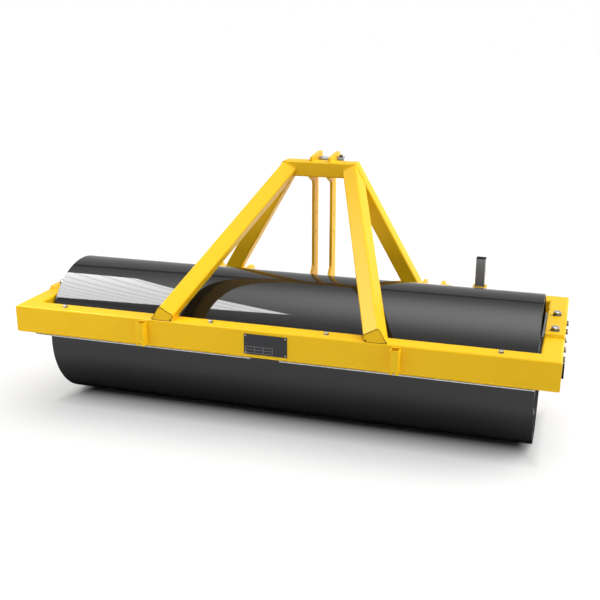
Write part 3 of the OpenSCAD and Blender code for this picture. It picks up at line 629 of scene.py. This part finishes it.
def seed_points(places, axes):
    mesh = bpy.data.meshes.new("seed")
    mesh.from_pydata(places, [], [])
    layer = mesh.attributes.new("axis", "FLOAT_VECTOR", "POINT")
    for item, axis in zip(layer.data, axes):
        item.vector = axis
    return mesh


print("geometry tools ready")

# %% [markdown]
# ## Hexagon heads and washers
# A hexagon head is a prism whose corners are turned off by a cone of thirty degrees. The tree takes a
# cylinder of 36 sides, pulls its rim out to the hexagon and drops the rim by that cone. A washer is a
# disc with a soft rim. Both store how low each point sits, which the finish turns into a painted shade
# that darkens them towards the base.

# %% Head and washer
HEX_SIDES = 36
HEAD_RINGS = 2
SIXTH = math.pi / 3
CONE = math.tan(math.radians(30))
FLAT_SHARE = 0.94  # width of the flat top, as a share of the head
HEAD_RIM = 0.75  # radius past which a point of the unit bar is on its rim
WASHER_SIDES = 40
WASHER_LAYERS = 3
WASHER_RIM = 0.4  # height past which a point of the unit disc is on a face
WASHER_SOFT = 3  # the rim steps in by the thickness over this number
WASHER_BASE_SHADE = 0.75  # painted shade at half height


def hexagon(tool, width, height, seat):
    round_bar = tool.node("GeometryNodeMeshCylinder", {"fill_type": "TRIANGLE_FAN"}, {
        "Vertices": HEX_SIDES, "Fill Segments": HEAD_RINGS, "Radius": 1.0, "Depth": 1.0})
    x, y, z = tool.split(tool.place())
    radius = (x * x + y * y).power(0.5)
    angle = y.math("ARCTAN2", y, x) + SIXTH / 2
    folded = angle.math("FLOORED_MODULO", angle, SIXTH) - SIXTH / 2
    corner = width / 2 / folded.math("COSINE", folded)
    flat = width * (FLAT_SHARE / 2)
    outer = radius > HEAD_RIM
    wanted = outer * corner + (1 - outer) * radius * 2 * flat
    upper = z > 0
    rise = seat + upper * (height - outer * (corner - flat) * CONE)
    scale = wanted / radius
    # Painted shade: the lower rim of the head is marked darker
    marked = tool.stored(round_bar.outputs["Mesh"], "base_shade", 1 - upper)
    return tool.moved(marked, x * scale, y * scale, rise)


def washer(tool, width, thickness):
    disc = tool.node("GeometryNodeMeshCylinder", {"fill_type": "TRIANGLE_FAN"}, {
        "Vertices": WASHER_SIDES, "Side Segments": WASHER_LAYERS, "Radius": 1.0, "Depth": 1.0})
    x, y, z = tool.split(tool.place())
    rim = z.size() > WASHER_RIM
    scale = width / 2 - rim * thickness / WASHER_SOFT
    # Painted shade: darker towards the bottom of the washer
    marked = tool.stored(disc.outputs["Mesh"], "base_shade", WASHER_BASE_SHADE - z / 2)
    return tool.moved(marked, x * scale, y * scale, (z + 0.5) * thickness)


print("head and washer ready")

# %% [markdown]
# ## Bolts and nuts
# A bolt is a head on a washer. A nut is the same hexagon with the end of the thread standing out of it.
# The tree sets one on each seed point, along the axis stored there, and turns every head by its own
# random angle, as a spanner leaves it.

# %% Bolt and nut trees
TURN_SEED = 7
RANDOM_FLOAT = 1  # place of the number among a Random Value node's outputs


def stand_on_points(tool, shape):
    axis = tool.node("GeometryNodeInputNamedAttribute", {"data_type": "FLOAT_VECTOR"}, {"Name": "axis"})
    upright = tool.node("FunctionNodeAlignRotationToVector", {"axis": "Z"}, {
        "Vector": axis.outputs["Attribute"]})
    placed = tool.node("GeometryNodeInstanceOnPoints", sockets={
        "Points": tool.start.outputs["Seed"], "Instance": shape, "Rotation": upright.outputs[0]})
    angle = tool.node("FunctionNodeRandomValue", {"data_type": "FLOAT"}, {"Seed": TURN_SEED})
    turn = tool.node("FunctionNodeAxisAngleToRotation", sockets={
        "Axis": (0, 0, 1), "Angle": tool.value(angle.outputs[RANDOM_FLOAT]) * SIXTH})
    return tool.node("GeometryNodeRotateInstances", sockets={
        "Instances": placed.outputs[0], "Rotation": turn.outputs[0]}).outputs[0]


def bolt_tool(name, material):
    tool = Tool(name, ["Head width", "Head height", "Washer width", "Washer thickness"], material)
    thickness = tool.given("Washer thickness")
    head = hexagon(tool, tool.given("Head width"), tool.given("Head height"), thickness)
    under = washer(tool, tool.given("Washer width"), thickness)
    tool.close(stand_on_points(tool, tool.joined(head, under)))
    return tool


def nut_tool(name, material):
    tool = Tool(name, ["Nut width", "Nut height", "Thread", "Thread end"], material)
    height = tool.given("Nut height")
    nut = hexagon(tool, tool.given("Nut width"), height, seat=0.0)
    stub = washer(tool, tool.given("Thread"), height + tool.given("Thread end"))
    tool.close(stand_on_points(tool, tool.joined(nut, stub)))
    return tool


BOLT = bolt_tool("hexagon_bolt", ZINC)
NUT = nut_tool("hexagon_nut", ZINC)
print("hexagon tools:", BOLT.tree.name, NUT.tree.name)

# %% [markdown]
# ## Places of the fasteners
# The solids of each bolt family sit apart from each other, so their loose islands give the places. The
# washers under the heads give the seats, and the boxes of heads and nuts give the heights. The bolts on
# the side beams have no washer, so only a thin seat is left under their heads.

# %% Bolts, washers and nuts
MERGE_GAP = 0.01 * MM
HEAD_SHARE = 1.5
THREAD_END = 4 * MM
SCRAPER_THREAD = 12 * MM
BEARING_THREAD = 20 * MM
SIDE_THREAD = 14 * MM
SIDE_SEAT = 0.3 * MM


def islands(name):
    """Boxes of the loose parts of a solid, from left to right."""
    tool = bmesh.new()
    tool.from_mesh(NODES[name].data)
    bmesh.ops.remove_doubles(tool, verts=tool.verts, dist=MERGE_GAP)
    left = set(tool.verts)
    boxes = []
    while left:
        stack = [left.pop()]
        found = []
        while stack:
            vert = stack.pop()
            found.append(vert.co.copy())
            for edge in vert.link_edges:
                other = edge.other_vert(vert)
                if other in left:
                    left.remove(other)
                    stack.append(other)
        boxes.append([Vector([pick(co[i] for co in found) for i in range(3)]) for pick in (min, max)])
    tool.free()
    return sorted(boxes, key=lambda box: tuple(box[0]))


def bolt_family(name, bolts, washers, nuts, thread):
    boxes = islands(washers)
    seats = [((low.x + high.x) / 2, (low.y + high.y) / 2, low.z) for low, high in boxes]
    washer_low, washer_high = boxes[0]
    head_top = islands(bolts)[0][1].z
    up = [(0, 0, 1)] * len(seats)
    mesh = grow(BOLT, name + "_heads", seed_points(seats, up), head_width=HEAD_SHARE * thread,
                head_height=head_top - washer_high.z, washer_width=washer_high.x - washer_low.x,
                washer_thickness=washer_high.z - washer_low.z)
    add_piece(name + "_heads", mesh, "frame", None, [bolts, washers])
    nut_low, nut_high = islands(nuts)[0]
    tops = [(seat[0], seat[1], nut_high.z) for seat in seats]
    down = [(0, 0, -1)] * len(seats)
    mesh = grow(NUT, name + "_nuts", seed_points(tops, down), nut_width=HEAD_SHARE * thread,
                nut_height=nut_high.z - nut_low.z, thread=thread, thread_end=THREAD_END)
    add_piece(name + "_nuts", mesh, "frame", None, [nuts])


bolt_family("scraper_fastener", "scraper_bolts", "scraper_washers", "scraper_nuts", SCRAPER_THREAD)
bolt_family("bearing_fastener", "bearing_bolts", "bearing_washers", "bearing_nuts", BEARING_THREAD)

side_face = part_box("right_side_beam")[1].x
side_seats = []
side_axes = []
for low, high in islands("side_bolts"):
    side = math.copysign(1, low.x)
    side_seats.append((side * side_face, (low.y + high.y) / 2, (low.z + high.z) / 2))
    side_axes.append((side, 0, 0))
side_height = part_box("side_bolts")[1].x - side_face
mesh = grow(BOLT, "side_heads", seed_points(side_seats, side_axes), head_width=HEAD_SHARE * SIDE_THREAD,
            head_height=side_height - SIDE_SEAT, washer_width=HEAD_SHARE * SIDE_THREAD,
            washer_thickness=SIDE_SEAT)
add_piece("side_heads", mesh, "frame", None, ["side_bolts"])

# %% [markdown]
# ## Rivets and painted shade of small openings
# A blind rivet shows a low dome. The same dome, flat and dark, paints the shade of the small openings
# that stay at the corners of the brace caps and the bearing top plates.

# %% Domes
SIDES = ("left", "right")
REARWARD = (0, -1, 0)
RIVET_WIDTH = 6 * MM
RIVET_HEIGHT = 1.6 * MM
OPENING_SHADE_WIDTH = 6.5 * MM
OPENING_SHADE_HEIGHT = 1.2 * MM
OPENING_INSET = 4 * MM
OPENING_EDGE = 1 * MM
DOME_SIDES = 20
DOME_RINGS = 10


def dome_tool(name, material):
    tool = Tool(name, ["Width", "Height"], material)
    ball = tool.node("GeometryNodeMeshUVSphere", sockets={
        "Segments": DOME_SIDES, "Rings": DOME_RINGS, "Radius": 1.0})
    x, y, z = tool.split(tool.place())
    half = tool.given("Width") / 2
    dome = tool.moved(ball.outputs["Mesh"], x * half, y * half, z * tool.given("Height"))
    tool.close(stand_on_points(tool, tool.smooth(dome)))
    return tool


def cap_corners(name):
    """The two lower corners of a brace cap, a little above its edge."""
    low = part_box(name)[0]
    foot = [v.co for v in NODES[name].data.vertices
            if v.co.z < low.z + OPENING_INSET and v.co.y < low.y + OPENING_EDGE]
    ends = [pick(co.x for co in foot) for pick in (min, max)]
    return [Vector((x, low.y, low.z + OPENING_INSET)) for x in ends]


def plate_corner(name):
    """The inner rear corner of a bearing top plate."""
    low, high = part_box(name)
    inner = min(low.x, high.x, key=abs)
    return Vector((inner, low.y + OPENING_INSET, (low.z + high.z) / 2))


RIVET = dome_tool("blind_rivet", STAND_STEEL)
plate_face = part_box("data_plate")[0].y
rivets = []
for low, high in islands("plate_rivets"):
    rivets.append(((low.x + high.x) / 2, plate_face, (low.z + high.z) / 2))
mesh = grow(RIVET, "rivet_domes", seed_points(rivets, [REARWARD] * len(rivets)),
            width=RIVET_WIDTH, height=RIVET_HEIGHT)
add_piece("rivet_domes", mesh, "frame", None, ["plate_rivets"])

# Painted shade: flat dark domes for the shadow inside small openings at cap and plate corners
OPENING_SHADE = dome_tool("small_opening", GAP_SHADE)
opening_shades = []
for side in SIDES:
    opening_shades += cap_corners(side + "_brace_cap")
    opening_shades.append(plate_corner(side + "_top_plate"))
mesh = grow(OPENING_SHADE, "corner_openings", seed_points(opening_shades, [REARWARD] * len(opening_shades)),
            width=OPENING_SHADE_WIDTH, height=OPENING_SHADE_HEIGHT)
add_piece("corner_openings", mesh, "frame")

# %% [markdown]
# ## Weld beads
# Every tube and plate of the frame is welded on. A bead is a round bar half sunk into the corner, with
# the scallops that the torch leaves. The tree only needs edges to follow: it samples them evenly, and
# the length along the path drives the scallops.

# %% Bead tree
BEAD_WANDER = 30 * MM
BEAD_SIDES = 8


def bead_tool(name, material):
    tool = Tool(name, ["Bead", "Ripple", "Pitch", "Step"], material)
    path = tool.node("GeometryNodeMeshToCurve", sockets={"Mesh": tool.start.outputs["Seed"]})
    even = tool.node("GeometryNodeResampleCurve", {"mode": "LENGTH"}, {
        "Curve": path.outputs[0], "Length": tool.given("Step")})
    length = tool.value(tool.node("GeometryNodeSplineParameter").outputs["Length"])
    scallop = ((length / tool.given("Pitch")).fraction() - 0.5).size() * 2
    uneven = tool.noise(BEAD_WANDER) - 0.5
    radius = tool.given("Bead") * (1 - (scallop * 0.5 - uneven) * tool.given("Ripple"))
    profile = tool.node("GeometryNodeCurvePrimitiveCircle", sockets={
        "Resolution": BEAD_SIDES, "Radius": 1.0})
    bar = tool.node("GeometryNodeCurveToMesh", sockets={
        "Curve": even.outputs[0], "Profile Curve": profile.outputs[0],
        "Scale": radius, "Fill Caps": True})
    tool.close(tool.smooth(bar.outputs[0]))
    return tool


BEAD = bead_tool("weld_bead", YELLOW)
DRUM_BEAD = bead_tool("drum_bead", CHARCOAL)
# Painted shade: a dark bead for the shadow in the gaps around the brace caps
SEAM_SHADE_BEAD = bead_tool("cap_seam", GAP_SHADE)
print("bead trees:", BEAD.tree.name, DRUM_BEAD.tree.name, SEAM_SHADE_BEAD.tree.name)

# %% [markdown]
# ## Paths of the beads
# A bead runs where one piece meets another. For a tube that is the outline of its points on the plane
# that it is welded to, and for a round boss a ring. Loops and open lines then go into one seed mesh
# that has edges only.

# %% Paths
X_AXIS, Y_AXIS, Z_AXIS = range(3)
SNAP = 0.2 * MM
OUTLINE_DIGITS = 5
RING_STEPS = 96


def outline_on(name, axis, level, inset=0.0):
    """Outer outline of the points of a solid that lie on one plane."""
    first, second = [i for i in range(3) if i != axis]
    found = set()
    for vert in NODES[name].data.vertices:
        if abs(vert.co[axis] - level) < SNAP:
            found.add((round(vert.co[first], OUTLINE_DIGITS), round(vert.co[second], OUTLINE_DIGITS)))
    flat = [Vector(pair) for pair in sorted(found)]
    ring = [flat[i] for i in convex_hull_2d(flat)]
    points = []
    for i, corner in enumerate(ring):
        ahead = (ring[(i + 1) % len(ring)] - corner).normalized()
        back = (ring[i - 1] - corner).normalized()
        normal = Vector((-ahead.y, ahead.x)) + Vector((back.y, -back.x))
        moved = corner + normal.normalized() * inset
        spot = [level] * 3
        spot[first] = moved.x
        spot[second] = moved.y
        points.append(Vector(spot))
    return points


def ring_path(centre, radius, axis):
    first, second = [i for i in range(3) if i != axis]
    points = []
    for i in range(RING_STEPS):
        angle = 2 * math.pi * i / RING_STEPS
        spot = Vector(centre)
        spot[first] += radius * math.cos(angle)
        spot[second] += radius * math.sin(angle)
        points.append(spot)
    return points


def seed_paths(loops, lines=()):
    points = []
    edges = []
    for loop in loops:
        start = len(points)
        points += loop
        edges += [(start + i, start + (i + 1) % len(loop)) for i in range(len(loop))]
    for line in lines:
        start = len(points)
        points += line
        edges += [(start + i, start + i + 1) for i in range(len(line) - 1)]
    mesh = bpy.data.meshes.new("paths")
    mesh.from_pydata(points, edges, [])
    return mesh


print("paths ready")

# %% [markdown]
# ## Welds of the frame
# The braces, mast legs, sockets, sleeve and boss are welded all round. The mast plates, hitch ears and
# top plates are welded along straight corners only. All of these beads stay with the frame, so they
# are one mesh.

# %% Frame welds
WELD = {"bead": 4 * MM, "ripple": 0.5, "pitch": 5 * MM}
FRAME_WELD_STEP = 1.6 * MM
EAR_INSET = 12 * MM
EAR_DIGITS = 4


def plate_lines(name):
    """Corners between a mast plate and the tubes that it wraps."""
    low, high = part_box(name)
    lines = []
    for z in (CROSSBAR_TOP_Z, CROSSBAR_BOTTOM_Z, FRAME_TOP_Z):
        rear = min(v.co.y for v in NODES[name].data.vertices if abs(v.co.z - z) < SNAP)
        for x in (low.x, high.x):
            lines.append([Vector((x, rear, z)), Vector((x, FRONT_FACE_Y, z))])
    return lines


def ear_lines(name):
    """Corners between the hitch ears and the front beam."""
    low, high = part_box(name)
    bottom = low.z + EAR_INSET
    top = high.z - EAR_INSET
    welded = [v.co.x for v in NODES[name].data.vertices if v.co.y < FRONT_FACE_Y + SNAP]
    faces = sorted({round(x, EAR_DIGITS) for x in welded})
    return [[Vector((x, FRONT_FACE_Y, bottom)), Vector((x, FRONT_FACE_Y, top))] for x in faces]


def top_plate_lines(name):
    """Long corners between a bearing top plate and its side beam."""
    low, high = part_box(name)
    return [[Vector((x, low.y, low.z)), Vector((x, high.y, low.z))] for x in (low.x, high.x)]


def sleeve_loop():
    """Corner between the stand's sleeve and the top of the front beam."""
    low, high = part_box("stand_sleeve")
    corners = [(low.x, low.y), (high.x, low.y), (high.x, high.y), (low.x, high.y)]
    return [Vector((x, y, FRAME_TOP_Z)) for x, y in corners]


def boss_loop():
    """Corner between the clamp's boss and the stand's sleeve."""
    low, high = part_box("clamp_boss")
    centre = ((low.x + high.x) / 2, low.y, (low.z + high.z) / 2)
    return ring_path(centre, (high.x - low.x) / 2, Y_AXIS)


loops = []
lines = []
for side in SIDES:
    loops.append(outline_on(side + "_rear_brace", Z_AXIS, FRAME_TOP_Z))
    loops.append(outline_on(side + "_mast_leg", Z_AXIS, FRAME_TOP_Z))
    loops.append(outline_on(side + "_rear_brace", Y_AXIS, PORTAL_REAR_Y))
    loops.append(outline_on(side + "_rear_socket", Y_AXIS, REAR_FACE_Y))
    lines += plate_lines(side + "_mast_plate")
    lines += ear_lines(side + "_hitch_ears")
    lines += top_plate_lines(side + "_top_plate")
loops += [sleeve_loop(), boss_loop()]
mesh = grow(BEAD, "frame_welds", seed_paths(loops, lines), step=FRAME_WELD_STEP, **WELD)
add_piece("frame_welds", mesh, "frame")

# %% [markdown]
# ## Drum welds and painted shade of the cap gaps
# The end discs are welded into the shell all round, and those beads turn with the drum. The caps on the
# brace feet are spot welded, so a gap stays open around them; a dark bead along it paints its shade.
# The same tree draws both.

# %% Drum welds and painted gap shade
DRUM_WELD_STEP = 2 * MM
SEAM_SHADE = {"bead": 1.15 * MM, "ripple": 0.0, "pitch": 4 * MM, "step": 3 * MM}
SEAM_SHADE_INSET = -2 * MM

rings = []
for corner, side in enumerate(SIDES):
    face_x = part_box(side + "_end_disc")[corner].x
    rings.append(ring_path((face_x, DRUM_AXIS.y, DRUM_AXIS.z), DRUM_RADIUS - DRUM_WALL, X_AXIS))
mesh = grow(DRUM_BEAD, "drum_welds", seed_paths(rings), step=DRUM_WELD_STEP, **WELD)
add_piece("drum_welds", mesh, "drum")

# Painted shade: a thin dark bead around each brace cap for the shadow in its gap
cap_gap_paths = []
for side in SIDES:
    cap = side + "_brace_cap"
    cap_gap_paths.append(outline_on(cap, Y_AXIS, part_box(cap)[0].y, SEAM_SHADE_INSET))
mesh = grow(SEAM_SHADE_BEAD, "cap_seams", seed_paths(cap_gap_paths), **SEAM_SHADE)
add_piece("cap_seams", mesh, "frame")

# %% [markdown]
# ## World
# The drum is a dark mirror, so the room around it is as much of its look as its paint. The world is a
# pale hall with a wide soft ceiling light: dim at the horizon, bright overhead, with one dark joint
# where the wall meets the ceiling. Mirror rays see that hall. The paint gets a plainer one, brighter
# towards the front right, and the camera sees white. Values named MIRRORED are for mirror rays only,
# and those named PLAIN for the light on the paint.

# %% World
WALL_MIRRORED = 0.56
WALL_PLAIN = 0.06
REAR_MIRRORED = 0.35
RIGHT_MIRRORED = 0.2
RIGHT_PLAIN = 3.6
RIGHT_CURVE = 2.5
CEILING_GLOW = 3.1
CEILING_PLAIN = 1.14  # as a share of the glow that mirrors show
CEILING_START = 0.68
CEILING_CURVE = 2.4
JOINT_HEIGHT = 0.675
JOINT_HALF = 0.045
JOINT_DARK = 0.85


def camera_ray(look):
    return look.value(look.node("ShaderNodeLightPath").outputs["Is Camera Ray"])


def mirror_ray(look):
    path = look.node("ShaderNodeLightPath")
    glossy = look.value(path.outputs["Is Glossy Ray"])
    return glossy.larger(look.value(path.outputs["Is Transmission Ray"]))


def hall_glow(look, mirrored):
    x, y, height = look.split(look.node("ShaderNodeTexCoord").outputs["Generated"])
    right = x.clamped()
    behind = (0 - y).clamped()
    rise = ((height - CEILING_START) / (1 - CEILING_START)).clamped()
    ceiling = rise.power(CEILING_CURVE) * CEILING_GLOW
    joint = (1 - (height - JOINT_HEIGHT).size() / JOINT_HALF).clamped() * (1 - behind)
    shown = WALL_MIRRORED + behind * REAR_MIRRORED + right * RIGHT_MIRRORED + ceiling
    front_right = right * (1 - behind).power(RIGHT_CURVE)
    plain = WALL_PLAIN + front_right * RIGHT_PLAIN + ceiling * CEILING_PLAIN
    return mirrored * shown * (1 - joint * JOINT_DARK) + (1 - mirrored) * plain


world = bpy.data.worlds.new("hall")
scene.world = world
world.use_nodes = True
hall = Graph(world.node_tree)
backdrop = hall.tree.nodes["Background"]
backdrop.inputs["Color"].default_value = (1, 1, 1, 1)
seen = camera_ray(hall)
hall.feed(backdrop.inputs["Strength"], seen + (1 - seen) * hall_glow(hall, mirror_ray(hall)))
print("overhead glow", WALL_MIRRORED + CEILING_GLOW)

# %% [markdown]
# ## Key light and its mirror image
# On its left the drum mirrors a large panel of light with thin slats. A card overhead glows for mirror
# rays only and draws that panel: its slats are lines across its UV map. A soft area lamp on the same
# side, farther to the rear, lights the paint. Mirror rays don't see the lamp.

# %% Key lamp and slatted card
LAMP_PLACE = Vector((-3.2, -2.6, 3.4))
LAMP_SIZE = (2.55, 3.0)
LAMP_GLOW = 3.6
PANEL_TURN = math.radians(24.5)
PANEL_GLOW = 15.0
SLAT_PITCH = 0.23
SLAT_SHARE = 0.1
SLAT_DARK = 0.55
CARD_HEIGHT = 3.5
CARD_OUTLINE = [(-0.97, -1.71), (-1.46, -0.89), (-2.25, 0.68), (-4.8, 0.72), (-4.8, -2.86),
                (-2.25, -2.13)]

lamp_area = LAMP_SIZE[0] * LAMP_SIZE[1]
lamp_data = bpy.data.lights.new("key_lamp", "AREA")
lamp_data.shape = "RECTANGLE"
lamp_data.size, lamp_data.size_y = LAMP_SIZE
lamp_data.energy = math.pi * lamp_area * LAMP_GLOW
key_lamp = new_object("key_lamp", lamp_data)
key_lamp.location = LAMP_PLACE
key_lamp.rotation_euler = (0, 0, PANEL_TURN)
key_lamp.visible_glossy = False


def card_finish():
    look = Finish("slatted_card", Base_Color=(0, 0, 0, 1), Specular_IOR_Level=0.0, Emission_Strength=1.0)
    across = look.split(look.node("ShaderNodeTexCoord").outputs["UV"])[0]
    slat = (across / SLAT_PITCH).fraction() < SLAT_SHARE
    look.set("Emission Color", look.grey(PANEL_GLOW * (1 - slat * SLAT_DARK)))
    return look.material


def card_mesh():
    back = Matrix.Rotation(-PANEL_TURN, 3, "Z")
    points = [Vector((x, y, CARD_HEIGHT)) for x, y in CARD_OUTLINE]
    mesh = bpy.data.meshes.new("slatted_card")
    mesh.from_pydata(points, [], [range(len(points))])
    layer = mesh.uv_layers.new(name="UVMap")
    for loop in mesh.loops:
        layer.data[loop.index].uv = (back @ points[loop.vertex_index]).xy
    return mesh


card = new_object("slatted_card", card_mesh())
dress(card, card_finish())
card.visible_camera = False
card.visible_diffuse = False
card.visible_shadow = False
print("key lamp", round(lamp_data.energy), "W on", round(lamp_area, 2), "square metres")

# %% [markdown]
# ## Floor
# The floor is a pale matt surface, so it takes real shadows and throws light back up on the frame. The
# camera sees it lifted to white: part of its tone is a glow that adds what the lamp and the hall leave
# short of white. That glow fades out along the line where the drum stands, which paints a dark contact
# shadow there. For mirror rays the floor's colour darkens softly towards the same line, a painted shadow
# that the drum mirrors.

# %% Floor
FLOOR_HALF = 40.0
FLOOR_ALBEDO = 0.77  # for the light that it throws back
FLOOR_SEEN = 0.52  # for the camera, which keeps the shadows pale
FLOOR_AIM = 1.11  # tone that the glow lifts the open floor to
FLOOR_FROM_WORLD = 1.15  # light of the hall on the floor
CONTACT_START = 0.1  # half width of the painted contact shadow under the drum
CONTACT_FADE = 0.2
CONTACT_HALF = 0.99  # half length of that painted shadow
CONTACT_END = 0.1
MIRROR_FADE = 0.5  # width over which the painted shadow on the mirrored floor fades out
MIRROR_SHARE = 0.87  # its tone in the open, as a share of the real one


def light_on_floor(x, y):
    """Light on the open floor, where 1 makes a white surface look white."""
    along = x - LAMP_PLACE.x
    deep = y - LAMP_PLACE.y
    reach = along * along + deep * deep + LAMP_PLACE.z ** 2
    from_lamp = LAMP_GLOW * lamp_area * LAMP_PLACE.z ** 2 / math.pi
    return FLOOR_FROM_WORLD + from_lamp / (reach * reach)


def floor_finish():
    look = Finish("floor_white", Roughness=1.0, Specular_IOR_Level=0.0, Emission_Strength=1.0)
    x, y, _ = look.split(look.place())
    seen = camera_ray(look)
    mirrored = mirror_ray(look)
    # Painted shadow: near the drum's line the glow fades out, and for mirror rays the floor's colour
    # darkens too
    away = (y - DRUM_AXIS.y).size() - CONTACT_START
    beside = (away / CONTACT_FADE).clamped()
    beyond = ((x.size() - CONTACT_HALF) / CONTACT_END).clamped()
    mirror_shadow_tone = (away / MIRROR_FADE).clamped().eased() * MIRROR_SHARE
    albedo = FLOOR_ALBEDO + seen * (FLOOR_SEEN - FLOOR_ALBEDO)
    lacking = (FLOOR_AIM - albedo * light_on_floor(x, y)).clamped()
    fill = seen * beside.larger(beyond) + mirrored * mirror_shadow_tone
    look.set("Base Color", look.grey(albedo * (1 - mirrored * (1 - mirror_shadow_tone))))
    look.set("Emission Color", look.grey(lacking * fill))
    return look.material


def build_floor(tool):
    corners = [(-FLOOR_HALF, -FLOOR_HALF), (FLOOR_HALF, -FLOOR_HALF)]
    corners += [(FLOOR_HALF, FLOOR_HALF), (-FLOOR_HALF, FLOOR_HALF)]
    tool.faces.new([tool.verts.new((x, y, cad_box[0][2])) for x, y in corners])


floor = new_object("floor", mesh_from("floor", build_floor))
dress(floor, floor_finish())
print("floor", 2 * FLOOR_HALF, "metres wide")
